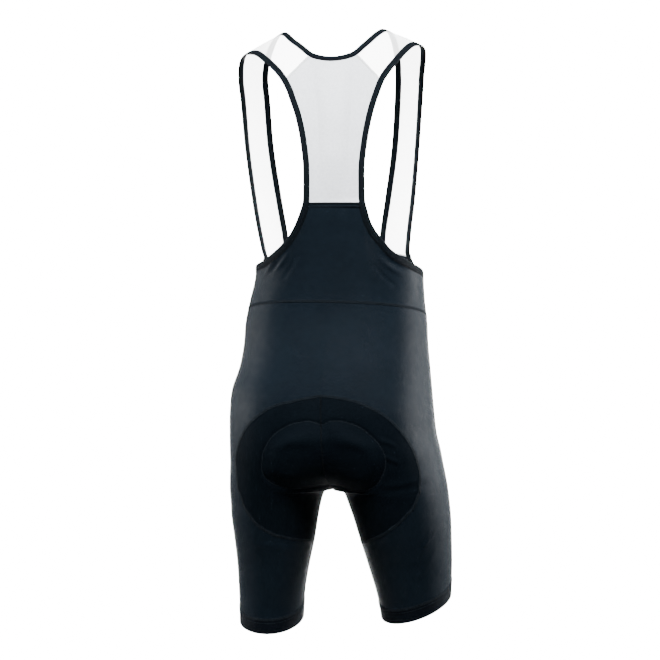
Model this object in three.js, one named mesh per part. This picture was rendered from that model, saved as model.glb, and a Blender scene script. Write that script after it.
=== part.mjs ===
// Cycling bib shorts held in their worn shape, millimetres, +Z up.
// The front faces -Y, the wearer's left is +X, the origin lies where the shoulders carry the straps.
import * as THREE from "three";

// Cloth and trim sizes
const LYCRA = 1.5;
const MESH_CLOTH = 1.1;
const HEM_CLOTH = 2.2;
const BINDING_THICK = 2.6;
const SEAM_GAP = 0.3;
const BINDING_START = 0.15;
const HEM_HEIGHT = 24;
const BINDING_BACK = 8.6;
const BINDING_FRONT = 8.6;
const BINDING_NECK = 7.2;
const PAD_EDGE = 2.2;
const PAD_MIDDLE = 8;
const PAD_CLEARANCE = 2.6;

// How finely each panel is divided
const BACK_COLUMNS = 13;
const SIDE_COLUMNS = 6;
const FRONT_COLUMNS = 7;
const UPPER_ROWS = 5;
const SEAT_ROWS = 11;
const THIGH_ROWS = 10;
const LOWER_ROWS = 4;
const INSERT_COLUMNS = 6;
const YOKE_ROWS = 4;
const FRONT_YOKE_ROWS = 3;
const YOKE_EDGE = 7;
const BIB_HALF = 6;
const BIB_ROWS = 8;
const DIAGONAL = 3;
const FRONT_EDGE = 4;
const STRAP_ROWS = 14;
const NECKLINE = 6;
const PAD_FIRST_ROW = 4;
const PAD_FRONT_FIRST_ROW = 7;
const PAD_THIGH_ROWS = 3;
const PAD_COLUMNS = 4;

// Level sections of the body from the shoulder blades to below the hems.
// z height, mid sideways place of the middle plane, yaw in degrees, square corner exponent,
// spread from the middle plane to each thigh's middle, out and in reach of each side,
// back and front depth of each side, backMid and frontMid depth on the middle plane,
// ahead how far each thigh stands forward.
const SECTION_COLUMNS = ["z", "mid", "yaw", "square", "spreadL", "spreadR", "outL", "outR", "inL", "inR",
  "back", "backMid", "front", "frontMid", "aheadL", "aheadR"];
const SECTION_ROWS = [
  [-30, 0, 0, 2.5, 0, 0, 120, 120, 0, 0, 56, 56, 60, 60, 0, 0],
  [-60, 0, 0, 2.5, 0, 0, 135, 135, 0, 0, 70, 70, 80, 80, 0, 0],
  [-100, 0, 0, 2.5, 0, 0, 148, 148, 0, 0, 85, 85, 100, 100, 0, 0],
  [-150, 0, 0, 2.5, 0, 0, 152, 152, 0, 0, 98, 98, 112, 112, 0, 0],
  [-205, -1, 0.5, 2.5, 0, 0, 148, 148, 0, 0, 105, 105, 113, 113, 0, 0],
  [-265, -4, 1.5, 2.5, 0, 0, 142, 142, 0, 0, 106, 106, 111, 111, 0, 0],
  [-320, -7, 3, 2.5, 0, 0, 136, 136, 0, 0, 101, 101, 108, 108, 0, 0],
  [-370, -9, 4.5, 2.5, 0, 0, 133, 133, 0, 0, 98, 98, 106, 106, 0, 0],
  [-416, -6, 6, 2.5, 0, 0, 139.5, 138.5, 0, 0, 97, 97, 104, 104, 0, 0],
  [-450, -5, 7, 2.45, 4, 4, 145.5, 143.5, 0, 0, 99, 98.95, 103, 102.95, 0, 0],
  [-484, -3, 8, 2.4, 12, 12, 146.2, 147, 0, 0, 104, 103.8, 103, 102.8, 0, 0],
  [-520, -1, 9, 2.35, 25, 25, 150.6, 152.2, 0, 0, 111, 110.5, 103, 102.6, 0, 0],
  [-556, 2, 9, 2.3, 40, 40, 159.6, 158.4, 0, 0, 117.5, 116.3, 103, 102.2, 0, 0],
  [-592, 2, 9, 2.3, 55, 55, 162.8, 161.6, 0, 0, 121.5, 119.3, 102, 100.8, 0, 0],
  [-625, 1, 9, 2.3, 66, 67.5, 163.8, 164.4, 0, 0, 121, 117.5, 100.5, 97.5, 0, 0],
  [-652, 0, 9, 2.25, 74, 77, 164.8, 169.8, 0, 0, 117, 111, 99, 91, 0, 0],
  [-674, 0, 9, 2.2, 80, 84, 164.8, 174.2, 0, 0, 110.5, 99, 97, 79, 0, 0],
  [-690, 0, 9, 2.18, 84, 89, 165.6, 177.6, 0, 0, 105, 83, 95.5, 64, 0, 0],
  [-701, 0, 9, 2.16, 86.8, 92.3, 166, 179.8, 0, 0, 101.2, 64, 94.4, 49, 0, 0],
  [-708.5, 0, 9, 2.15, 88.5, 94.5, 166.2, 181.1, 0, 0, 98.7, 43, 93.6, 33, 0, 0],
  [-713, 0, 9, 2.14, 89.4, 95.7, 166.3, 181.8, 0, 0, 97.3, 22, 93.1, 17, 0, 0],
  [-715, 0, 9, 2.14, 89.8, 96.2, 166.3, 182, 0, 0, 96.7, 0, 92.9, 0, 0, 0],
  [-716.2, 0, 9, 2.13, 90, 96.5, 166.3, 182.2, 9, 11, 96.3, 0, 92.8, 0, 0, 0],
  [-719, 0, 9, 2.13, 90.6, 97.3, 166.2, 182.6, 15, 17, 95.5, 0, 92.4, 0, 0, 0],
  [-725, 0, 9, 2.12, 91.7, 99, 166, 183.3, 19, 20.5, 93.9, 0, 91.6, 0, 0.4, 0.5],
  [-738, 0, 9, 2.11, 93.5, 102.5, 165.2, 184.7, 22.8, 25, 90.8, 0, 89.6, 0, 1.4, 1.8],
  [-760, 0, 9, 2.1, 95, 107.5, 164.6, 186.4, 27.4, 32.4, 86.5, 0, 86, 0, 3.3, 4.2],
  [-798, 0, 9, 2.08, 96.2, 115.2, 160.6, 187.2, 34, 43.2, 79.5, 0, 79.5, 0, 7, 9],
  [-836, 0, 9, 2.05, 97.6, 120.8, 157.4, 187.2, 42.6, 54.4, 72, 0, 73, 0, 11, 14],
  [-875, 0, 9, 2, 99.2, 125.6, 156.2, 185.6, 50, 65.6, 66.5, 0, 68, 0, 15, 19],
  [-905, 0, 9, 2, 100.8, 128, 155.6, 184, 53, 72, 63.5, 0, 64.5, 0, 18, 23],
  [-935, 0, 9, 2, 101.3, 129, 155.4, 182, 54, 76, 62, 0, 62.5, 0, 20, 26],
  [-960, 0, 9, 2, 101.5, 129.5, 155.4, 180, 54.5, 79, 61, 0, 61, 0, 22, 28],
];
const CROTCH = 21;
const CROTCH_CORNER = [22.2, 23.5];

// Share of the half back, from the side seam inwards, that lies below the armhole edge of the yoke
const YOKE_EDGE_SHARE = 0.76;

// Straight cuts through the body: a point of the cut and its slope sideways and backwards
const WAIST_SEAM = { x: 0, y: 0, z: -434.3, sideways: 0.0436, backwards: 0.17 };
const HEM_LEFT = { x: 100, y: -34, z: -927, sideways: -0.06, backwards: -0.3 };
const HEM_RIGHT = { x: -132, y: -2, z: -901.5, sideways: -0.34, backwards: -0.25 };

// Middle line of the binding along the outer edge of each strap, from back to front
const STRAP_OUTER_LEFT = [
  { x: 78.3, y: 62, z: -70.4 }, { x: 90.5, y: 50, z: -53 }, { x: 107.5, y: 33, z: -35 },
  { x: 122, y: 14, z: -22 }, { x: 134.4, y: -8, z: -17 }, { x: 145, y: -34, z: -17 },
  { x: 152, y: -60, z: -27 }, { x: 154, y: -80, z: -52 }, { x: 151, y: -92, z: -83 },
  { x: 144, y: -97, z: -165 }, { x: 132.5, y: -90, z: -248 }, { x: 123.5, y: -77, z: -298 },
  { x: 116, y: -67, z: -332 }, { x: 113.5, y: -64, z: -344 },
];
const STRAP_OUTER_RIGHT = [
  { x: -74.4, y: 62, z: -70.4 }, { x: -84.9, y: 50, z: -53 }, { x: -98.8, y: 33, z: -35 },
  { x: -113, y: 16, z: -17 }, { x: -126, y: 0, z: -5 }, { x: -136, y: -14, z: -2 },
  { x: -145, y: -40, z: -5 }, { x: -147, y: -63, z: -18 }, { x: -145.5, y: -80, z: -42 },
  { x: -144, y: -92, z: -83 }, { x: -139, y: -97, z: -165 }, { x: -131.5, y: -90, z: -248 },
  { x: -125, y: -76, z: -298 }, { x: -121.5, y: -66, z: -332 }, { x: -121, y: -64, z: -342 },
];

// Middle line of the binding along the neck edge of each strap, from back to front
const STRAP_INNER_LEFT = [
  { x: 36.2, y: 50, z: -28.6 }, { x: 44.9, y: 44, z: -20.7 }, { x: 56, y: 34, z: -10.5 },
  { x: 65.9, y: 22, z: -1.7 }, { x: 80, y: 0, z: 13 }, { x: 92, y: -28, z: 10 },
  { x: 102, y: -55, z: -4 }, { x: 110, y: -77, z: -26 }, { x: 112.5, y: -90, z: -50 },
  { x: 110, y: -102, z: -82 }, { x: 103.7, y: -112, z: -163 }, { x: 91, y: -112, z: -246 },
  { x: 82, y: -106, z: -296 }, { x: 75.5, y: -98, z: -334 },
];
const STRAP_INNER_RIGHT = [
  { x: -32.3, y: 51, z: -26.3 }, { x: -43, y: 43, z: -16 }, { x: -56.3, y: 27, z: -2.2 },
  { x: -68, y: 13, z: 10 }, { x: -80, y: -3, z: 19 }, { x: -91, y: -28, z: 17 },
  { x: -99, y: -55, z: 3 }, { x: -104, y: -77, z: -20 }, { x: -105.5, y: -90, z: -48 },
  { x: -105, y: -102, z: -82 }, { x: -100.4, y: -112, z: -163 }, { x: -89.6, y: -112, z: -246 },
  { x: -82, y: -106, z: -296 }, { x: -77, y: -98, z: -332 },
];

// Back neckline between the straps, from left to right
const NECKLINE_BACK = [{ x: 20, y: 57, z: -34.5 }, { x: 2, y: 60, z: -36.3 }, { x: -17, y: 58, z: -33.2 }];

// Front neckline between the straps, from left to right
const NECKLINE_FRONT = [
  { x: 64, y: -104, z: -352 }, { x: 40, y: -107, z: -366 }, { x: 0, y: -108, z: -372 },
  { x: -40, y: -107, z: -366 }, { x: -65, y: -104, z: -350 },
];

// Middle line of the armhole binding below the straps: front panel, yoke, then mesh back panel
const ARMHOLE_FRONT_LEFT = [
  { x: 116.5, y: -52, z: -355 }, { x: 121, y: -36, z: -362 }, { x: 124, y: -16, z: -366 },
];
const ARMHOLE_FRONT_RIGHT = [
  { x: -125, y: -54, z: -358 }, { x: -133, y: -38, z: -368 }, { x: -139, y: -17, z: -374 },
];
const ARMHOLE_YOKE_LEFT = [
  { x: 123.7, y: 0, z: -365.5 }, { x: 110.5, y: 58, z: -356.5 }, { x: 90.6, y: 79, z: -341.5 },
  { x: 74.4, y: 90, z: -326 }, { x: 63, y: 96, z: -310.4 }, { x: 54.9, y: 99, z: -295 },
  { x: 48.7, y: 101, z: -279.6 }, { x: 44.4, y: 103, z: -265.5 },
];
const ARMHOLE_YOKE_RIGHT = [
  { x: -141, y: 2, z: -374.5 }, { x: -123.2, y: 56, z: -364.9 }, { x: -106.4, y: 74, z: -355.6 },
  { x: -85.6, y: 87, z: -341.5 }, { x: -72, y: 92, z: -326 }, { x: -60, y: 96, z: -310.4 },
  { x: -52, y: 99, z: -295 }, { x: -47.5, y: 101, z: -279.6 }, { x: -43.8, y: 103, z: -265.5 },
];
const ARMHOLE_BIB_LEFT = [
  { x: 43.5, y: 103, z: -240 }, { x: 44.1, y: 101, z: -205 }, { x: 47, y: 96, z: -178 },
  { x: 51.2, y: 91, z: -151.6 }, { x: 58, y: 83, z: -123 }, { x: 64.7, y: 76, z: -103.3 },
  { x: 70.3, y: 70, z: -86.9 },
];
const ARMHOLE_BIB_RIGHT = [
  { x: -42.8, y: 103, z: -240 }, { x: -43.1, y: 101, z: -205 }, { x: -46.2, y: 96, z: -178 },
  { x: -50.4, y: 91, z: -151.6 }, { x: -56.6, y: 83, z: -123 }, { x: -62.4, y: 76, z: -103.3 },
  { x: -68, y: 70, z: -86.9 },
];

// Outline of the seat insert on each side, from the top of the centre seam down to the inseam
const INSERT_LEFT = [
  { x: 60, z: -571 }, { x: 102, z: -584 }, { x: 137, z: -615 }, { x: 152, z: -655 }, { x: 152, z: -690 },
  { x: 145, z: -724 }, { x: 130, z: -755 }, { x: 103, z: -778 }, { x: 69, z: -789.5 },
];
const INSERT_RIGHT = [
  { x: -17, z: -568 }, { x: -46, z: -577 }, { x: -83, z: -598 }, { x: -114, z: -634 }, { x: -129.5, z: -671 },
  { x: -132, z: -698 }, { x: -127, z: -724 }, { x: -110, z: -750 }, { x: -84, z: -774 }, { x: -62, z: -788 },
];
const INSERT_TOP = -563.3;
const INSERT_FOOT_LEFT = -798;
const INSERT_FOOT_RIGHT = -799;

// Half width of the pad on each seat row from its first row down to its tip on the inner thigh
const PAD_BACK_REACH = [38, 75, 92, 96, 92, 82, 70, 56, 46, 36, 0];
const PAD_FRONT_REACH = [20, 34, 40, 42, 40, 36, 30, 0];

const named = (row) => Object.fromEntries(SECTION_COLUMNS.map((name, i) => [name, row[i]]));
const SECTIONS = SECTION_ROWS.map(named);
const LAST = SECTIONS.length - 1;
const vec = (p) => new THREE.Vector3(p.x, p.y, p.z);
const clamp = (value, low, high) => Math.min(Math.max(value, low), high);
const blend = (a, b, f) => a + (b - a) * f;

// Smooth run of a value through four table entries
function smooth(a, b, c, d, f) {
  const start = (c - a) / 2;
  const end = (d - b) / 2;
  const cube = 2 * (b - c) + start + end;
  const square = 3 * (c - b) - 2 * start - end;
  return ((cube * f + square) * f + start) * f + b;
}

// The section at a fractional section number
function sectionAt(row) {
  const i = clamp(Math.floor(row), 0, LAST - 1);
  const f = row - i;
  const pick = (k) => SECTIONS[clamp(k, 0, LAST)];
  const section = {};
  for (const name of SECTION_COLUMNS) {
    section[name] = smooth(pick(i - 1)[name], pick(i)[name], pick(i + 1)[name], pick(i + 2)[name], f);
  }
  return section;
}

// The fractional section number at a height
function rowAtHeight(z) {
  let low = 0;
  let high = LAST;
  for (let k = 0; k < 44; k += 1) {
    const middle = (low + high) / 2;
    if (sectionAt(middle).z > z) low = middle;
    else high = middle;
  }
  return (low + high) / 2;
}

// How far the middle-plane cut pulls in a section: 0 at the crest, 1 at the crotch
function pinch(section, row, isBack) {
  if (row >= CROTCH) return 1;
  const lobe = isBack ? section.back : section.front;
  const middle = isBack ? section.backMid : section.frontMid;
  const ratio = clamp(middle / lobe, 0, 1);
  return Math.sqrt(Math.max(0, 1 - ratio * ratio));
}

// Largest angle of a side's section, reached on the middle plane or the inseam
function endAngle(row, isBack) {
  if (row >= CROTCH) return Math.PI;
  return Math.PI / 2 + Math.asin(pinch(sectionAt(row), row, isBack));
}

// A point of the body: side +1 left or -1 right, angle 0 outermost, positive towards the back
function body(side, row, angle) {
  const s = sectionAt(row);
  const isBack = angle >= 0;
  const spread = side > 0 ? s.spreadL : s.spreadR;
  const out = side > 0 ? s.outL : s.outR;
  const inner = side > 0 ? s.inL : s.inR;
  const ahead = side > 0 ? s.aheadL : s.aheadR;
  const lobe = isBack ? s.back : s.front;
  const turn = Math.min(Math.abs(angle), Math.PI);
  const c = Math.cos(turn);
  const q = Math.sin(turn);
  let x;
  let y;
  if (c >= 0) {
    x = spread + (out - spread) * c ** (2 / s.square);
    y = lobe * q ** (2 / s.square);
  } else {
    const cut = pinch(s, row, isBack);
    const reach = row >= CROTCH ? spread - Math.max(0, inner) : cut > 1e-5 ? spread / cut : 0;
    x = spread + reach * c;
    y = lobe * q;
  }
  y = (isBack ? y : -y) - (row >= CROTCH ? ahead : 0);
  const yaw = THREE.MathUtils.degToRad(s.yaw);
  return new THREE.Vector3(
    s.mid + side * x * Math.cos(yaw) + y * Math.sin(yaw),
    -side * x * Math.sin(yaw) + y * Math.cos(yaw),
    s.z,
  );
}

function cutHeight(cut, p) {
  return cut.z + cut.sideways * (p.x - cut.x) + cut.backwards * (p.y - cut.y);
}

// Section number where a slanting cut crosses the line of one angle
function rowOnCut(side, angleAt, cut, rise, guess) {
  let row = guess;
  for (let k = 0; k < 12; k += 1) {
    row = rowAtHeight(cutHeight(cut, body(side, row, angleAt(row))) + rise);
  }
  return row;
}

// Position across the back or the front: +1 left side, 0 middle, -1 right side
function across(place, row, isBack) {
  const side = place >= 0 ? 1 : -1;
  const angle = (1 - Math.abs(place)) * endAngle(row, isBack);
  return body(side, row, isBack ? angle : -angle);
}

// The place across the body nearest to a point at the same height
function placeOf(point, isBack) {
  const row = rowAtHeight(point.z);
  const miss = (place) => {
    const near = across(place, row, isBack);
    return Math.hypot(near.x - point.x, near.y - point.y);
  };
  let best = 0;
  for (let place = -1; place <= 1.0001; place += 0.02) {
    if (miss(place) < miss(best)) best = place;
  }
  let step = 0.01;
  for (let k = 0; k < 30; k += 1) {
    if (miss(best + step) < miss(best)) best += step;
    else if (miss(best - step) < miss(best)) best -= step;
    else step /= 2;
  }
  return { place: clamp(best, -1, 1), row };
}

// Edge of the seat insert: the share of the half back outside it, by section number
function insertEdge(side) {
  const table = side > 0 ? INSERT_LEFT : INSERT_RIGHT;
  const top = rowAtHeight(INSERT_TOP);
  const foot = rowAtHeight(side > 0 ? INSERT_FOOT_LEFT : INSERT_FOOT_RIGHT);
  const points = [new THREE.Vector2(top, body(side, top, endAngle(top, true)).x)];
  for (const p of table) points.push(new THREE.Vector2(rowAtHeight(p.z), p.x));
  points.push(new THREE.Vector2(foot, body(side, foot, Math.PI).x));
  const curve = new THREE.SplineCurve(points);
  const shareAt = (row) => {
    if (row <= top || row >= foot) return 1;
    let low = 0;
    let high = 1;
    for (let k = 0; k < 40; k += 1) {
      const middle = (low + high) / 2;
      if (curve.getPoint(middle).x < row) low = middle;
      else high = middle;
    }
    return shareAtX(side, row, curve.getPoint((low + high) / 2).y);
  };
  return { top, foot, shareAt, rowsBelow: (count) => rowsAlong(side, curve, foot, count) };
}

// Section numbers at even steps along the insert's edge from below the crotch to its foot
function rowsAlong(side, curve, foot, count) {
  const marks = [{ row: CROTCH_CORNER[1], length: 0 }];
  let before = null;
  for (let k = 0; k <= 400; k += 1) {
    const p = curve.getPoint(k / 400);
    if (p.x < CROTCH_CORNER[1] || p.x > foot) continue;
    const here = body(side, p.x, shareAtX(side, p.x, p.y) * Math.PI);
    const last = marks[marks.length - 1];
    if (before && p.x > last.row) marks.push({ row: p.x, length: last.length + here.distanceTo(before) });
    before = here;
  }
  const total = marks[marks.length - 1].length;
  const rows = [];
  for (let k = 1; k < count; k += 1) rows.push(marks.find((m) => m.length >= (total * k) / count).row);
  return [...rows, foot];
}

// Share of the back half section at which it reaches a sideways place
function shareAtX(side, row, x) {
  const end = endAngle(row, true);
  let low = 0.02;
  let high = 1;
  for (let k = 0; k < 40; k += 1) {
    const middle = (low + high) / 2;
    if (side * (body(side, row, middle * end).x - x) > 0) low = middle;
    else high = middle;
  }
  return (low + high) / 2;
}

// Share of the half back that lies between the side seam and a back column
function backShare(past) {
  if (past <= YOKE_EDGE) return (YOKE_EDGE_SHARE * past) / YOKE_EDGE;
  return blend(YOKE_EDGE_SHARE, 1, (past - YOKE_EDGE) / (BACK_COLUMNS - YOKE_EDGE));
}

// Angle of the seam between the front panel and the main panel
const frontSeamAngle = (row) => THREE.MathUtils.degToRad(blend(62, 76, clamp((row - 9) / 20, 0, 1)));

// Rows and columns of one half of the shorts, from the centre front round to the insert's edge
function makeSide(side) {
  const edge = insertEdge(side);
  const hem = side > 0 ? HEM_LEFT : HEM_RIGHT;
  const columns = FRONT_COLUMNS + SIDE_COLUMNS + BACK_COLUMNS;
  const angleAt = (row, column) => {
    const seam = frontSeamAngle(row);
    if (column <= FRONT_COLUMNS) return -blend(endAngle(row, false), seam, column / FRONT_COLUMNS);
    const past = column - FRONT_COLUMNS;
    if (past <= SIDE_COLUMNS) return -seam * (1 - past / SIDE_COLUMNS);
    return edge.shareAt(row) * endAngle(row, true) * backShare(past - SIDE_COLUMNS);
  };
  const waist = [];
  const hemTop = [];
  const hemFoot = [];
  for (let column = 0; column <= columns; column += 1) {
    const at = (row) => angleAt(row, column);
    waist.push(rowOnCut(side, at, WAIST_SEAM, 0, 8.5));
    hemTop.push(rowOnCut(side, at, hem, HEM_HEIGHT, 29.5));
    hemFoot.push(rowOnCut(side, at, hem, 0, 30.5));
  }
  const seat = [];
  for (let k = 1; k <= SEAT_ROWS; k += 1) {
    seat.push(edge.top + (CROTCH - edge.top) * (1 - Math.cos((Math.PI / 2) * (k / SEAT_ROWS))));
  }
  seat.push(...CROTCH_CORNER, ...edge.rowsBelow(THIGH_ROWS - CROTCH_CORNER.length));
  const rowOf = (step, column) => {
    if (step <= UPPER_ROWS) return blend(waist[column], edge.top, step / UPPER_ROWS);
    const past = step - UPPER_ROWS;
    if (past <= seat.length) return seat[past - 1];
    return blend(edge.foot, hemTop[column], (past - seat.length) / LOWER_ROWS);
  };
  return { side, edge, columns, angleAt, waist, hemTop, hemFoot, seat, rowOf };
}

const LEFT = makeSide(1);
const RIGHT = makeSide(-1);
const TOTAL_ROWS = UPPER_ROWS + SEAT_ROWS + THIGH_ROWS + LOWER_ROWS;

// A net of points: rows of equal length, joined where points fall together
function net(rows, flip) {
  return { rows, flip };
}

function sidePoint(half, step, column) {
  const row = half.rowOf(step, column);
  return body(half.side, row, half.angleAt(row, column));
}

function panelNet(half, first, last) {
  const rows = [];
  for (let step = 0; step <= TOTAL_ROWS; step += 1) {
    const line = [];
    for (let column = first; column <= last; column += 1) line.push(sidePoint(half, step, column));
    rows.push(line);
  }
  return net(rows, half.side < 0);
}

function insertNet(half) {
  const rows = [];
  for (let step = UPPER_ROWS; step <= UPPER_ROWS + SEAT_ROWS + THIGH_ROWS; step += 1) {
    const row = step === UPPER_ROWS ? half.edge.top : half.seat[step - UPPER_ROWS - 1];
    const end = endAngle(row, true);
    const start = half.edge.shareAt(row) * end;
    const line = [];
    for (let k = 0; k <= INSERT_COLUMNS; k += 1) {
      line.push(body(half.side, row, blend(start, end, k / INSERT_COLUMNS)));
    }
    rows.push(line);
  }
  return net(rows, half.side < 0);
}

function hemNet(half) {
  const rows = [0, 0.5, 1].map((f) => {
    const line = [];
    for (let column = 0; column <= half.columns; column += 1) {
      const row = blend(half.hemTop[column], half.hemFoot[column], f);
      line.push(body(half.side, row, half.angleAt(row, column)));
    }
    return line;
  });
  return net(rows, half.side < 0);
}

// Edge curves

// Points at equal spacing along a closed curve between two of its control points
function stretchOf(curve, total, from, to, count) {
  const fine = [];
  const steps = 240;
  for (let k = 0; k <= steps; k += 1) {
    const u = blend(from, to, k / steps) / total;
    fine.push(curve.getPoint(((u % 1) + 1) % 1));
  }
  const length = [0];
  for (let k = 1; k <= steps; k += 1) length.push(length[k - 1] + fine[k].distanceTo(fine[k - 1]));
  const out = [];
  for (let k = 0; k <= count; k += 1) {
    const want = (length[steps] * k) / count;
    let i = 1;
    while (i < steps && length[i] < want) i += 1;
    const f = (want - length[i - 1]) / (length[i] - length[i - 1] || 1);
    out.push(fine[i - 1].clone().lerp(fine[i], clamp(f, 0, 1)));
  }
  return out;
}

// Cuts a closed run of named stretches into evenly spaced points
function cutLoop(stretches) {
  const controls = stretches.flatMap((s) => s.points.map(vec));
  const curve = new THREE.CatmullRomCurve3(controls, true, "centripetal");
  const pieces = {};
  let start = 0;
  for (const s of stretches) {
    pieces[s.name] = stretchOf(curve, controls.length, start, start + s.points.length, s.count);
    start += s.points.length;
  }
  return pieces;
}

const drop = (points) => points.slice(0, -1);
const backwards = (points) => points.slice().reverse();

// Binding middle lines, each loop running strap front to back, down the back and home round the side
function armholeLoop(outer, front, yoke, bib) {
  return cutLoop([
    { name: "strap", points: drop(backwards(outer)), count: STRAP_ROWS },
    { name: "bib", points: [outer[0], ...backwards(bib)], count: BIB_ROWS },
    { name: "yoke", points: drop(backwards(yoke)), count: YOKE_EDGE },
    { name: "front", points: [yoke[0], ...backwards(front)], count: FRONT_EDGE },
  ]);
}

function neckLoop() {
  return cutLoop([
    { name: "left", points: drop(STRAP_INNER_LEFT), count: STRAP_ROWS },
    {
      name: "front",
      points: [STRAP_INNER_LEFT[STRAP_INNER_LEFT.length - 1], ...NECKLINE_FRONT],
      count: 2 * BIB_HALF,
    },
    { name: "right", points: drop(backwards(STRAP_INNER_RIGHT)), count: STRAP_ROWS },
    { name: "back", points: [STRAP_INNER_RIGHT[0], ...backwards(NECKLINE_BACK)], count: NECKLINE },
  ]);
}

// Moves a run of binding points across the binding's half width to the edge of the cloth
function edgeOf(points, towards, half) {
  const last = points.length - 1;
  return points.map((p, i) => {
    const tangent = points[Math.min(i + 1, last)].clone().sub(points[Math.max(i - 1, 0)]).normalize();
    const inward = towards(p, i).clone();
    inward.addScaledVector(tangent, -inward.dot(tangent)).normalize();
    return p.clone().addScaledVector(inward, half(i / last));
  });
}

const ARM_LEFT = armholeLoop(STRAP_OUTER_LEFT, ARMHOLE_FRONT_LEFT, ARMHOLE_YOKE_LEFT, ARMHOLE_BIB_LEFT);
const ARM_RIGHT = armholeLoop(STRAP_OUTER_RIGHT, ARMHOLE_FRONT_RIGHT, ARMHOLE_YOKE_RIGHT, ARMHOLE_BIB_RIGHT);
const NECK = neckLoop();

// Cloth edges next to the bindings, all running from the back or the side towards the front
function strapEdges(arm, neckRun) {
  const outer = backwards(arm.strap);
  const width = (f) => blend(BINDING_BACK, BINDING_FRONT, clamp(f * 2.2, 0, 1)) / 2;
  const neckWidth = (f) => blend(BINDING_NECK, BINDING_FRONT, clamp(f * 2.2, 0, 1)) / 2;
  const toNeck = (p, i) => neckRun[i].clone().sub(p);
  const toArm = (p, i) => outer[i].clone().sub(p);
  return { outer: edgeOf(outer, toNeck, width), inner: edgeOf(neckRun, toArm, neckWidth) };
}

const STRAP_LEFT = strapEdges(ARM_LEFT, NECK.left);
const STRAP_RIGHT = strapEdges(ARM_RIGHT, backwards(NECK.right));
const backHalf = () => BINDING_BACK / 2;
const neckHalf = () => BINDING_NECK / 2;
const frontHalf = (f) => blend(BINDING_BACK, BINDING_FRONT, f) / 2;

// Places a cloth edge on the body and gives it as places across it
const onBody = (points, isBack) => points.map((p) => placeOf(p, isBack));
const pointsOf = (places, isBack) => places.map((p) => across(p.place, p.row, isBack));

// Evenly spaced places between two places
function between(a, b, count) {
  const out = [];
  for (let k = 0; k <= count; k += 1) {
    out.push({ place: blend(a.place, b.place, k / count), row: blend(a.row, b.row, k / count) });
  }
  return out;
}

function sideTop(side, points) {
  const row = rowAtHeight(points[0].z);
  return { place: side, row };
}

function yokeTop() {
  const slope = (side) => () => new THREE.Vector3(-side * 0.7, 0, -0.7);
  const left = onBody(edgeOf(backwards(ARM_LEFT.yoke), slope(1), backHalf), true);
  const right = onBody(edgeOf(backwards(ARM_RIGHT.yoke), slope(-1), backHalf), true);
  left[0] = sideTop(1, edgeOf(backwards(ARM_LEFT.yoke), slope(1), backHalf));
  right[0] = sideTop(-1, edgeOf(backwards(ARM_RIGHT.yoke), slope(-1), backHalf));
  const seam = between(left[YOKE_EDGE], right[YOKE_EDGE], 2 * BIB_HALF);
  return [...drop(left), ...drop(seam), ...backwards(right)];
}

function frontTop() {
  const down = (side) => () => new THREE.Vector3(-side * 0.3, 0, -1);
  const left = onBody(edgeOf(ARM_LEFT.front, down(1), frontHalf), false);
  const right = onBody(edgeOf(ARM_RIGHT.front, down(-1), frontHalf), false);
  left[0] = { place: 1, row: YOKE_TOP[0].row };
  right[0] = { place: -1, row: YOKE_TOP[YOKE_TOP.length - 1].row };
  const neckline = onBody(edgeOf(NECK.front, () => new THREE.Vector3(0, 0, -1), neckHalf), false);
  left[FRONT_EDGE] = placeOf(STRAP_LEFT.outer[STRAP_ROWS], false);
  right[FRONT_EDGE] = placeOf(STRAP_RIGHT.outer[STRAP_ROWS], false);
  neckline[0] = placeOf(STRAP_LEFT.inner[STRAP_ROWS], false);
  neckline[2 * BIB_HALF] = placeOf(STRAP_RIGHT.inner[STRAP_ROWS], false);
  const seamLeft = between(left[FRONT_EDGE], neckline[0], DIAGONAL);
  const seamRight = between(neckline[2 * BIB_HALF], right[FRONT_EDGE], DIAGONAL);
  return [...drop(left), ...drop(seamLeft), ...drop(neckline), ...drop(seamRight), ...backwards(right)];
}

const YOKE_TOP = yokeTop();
const FRONT_TOP = frontTop();

// Net between a top edge and a bottom edge, both given as places across the body
function bandNet(top, bottom, count, isBack) {
  const rows = [];
  for (let r = 0; r <= count; r += 1) {
    rows.push(top.map((p, j) => across(
      blend(p.place, bottom[j].place, r / count),
      blend(p.row, bottom[j].row, r / count),
      isBack,
    )));
  }
  return net(rows, false);
}

// Waist seam points on the back, from the left side seam to the right side seam
function waistBack() {
  const places = [];
  const first = FRONT_COLUMNS + SIDE_COLUMNS;
  for (let j = 0; j <= 2 * BACK_COLUMNS; j += 1) {
    const half = j <= BACK_COLUMNS ? LEFT : RIGHT;
    const past = j <= BACK_COLUMNS ? j : 2 * BACK_COLUMNS - j;
    places.push({ place: half.side * (1 - backShare(past)), row: half.waist[first + past] });
  }
  return places;
}

// Waist seam points on the front, from the left side seam to the right side seam
function waistFront() {
  const places = [];
  const count = FRONT_COLUMNS + SIDE_COLUMNS;
  for (let j = 0; j <= 2 * count; j += 1) {
    const half = j <= count ? LEFT : RIGHT;
    const column = j <= count ? count - j : j - count;
    const row = half.waist[column];
    const share = -half.angleAt(row, column) / endAngle(row, false);
    places.push({ place: half.side * (1 - share), row });
  }
  return places;
}

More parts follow.
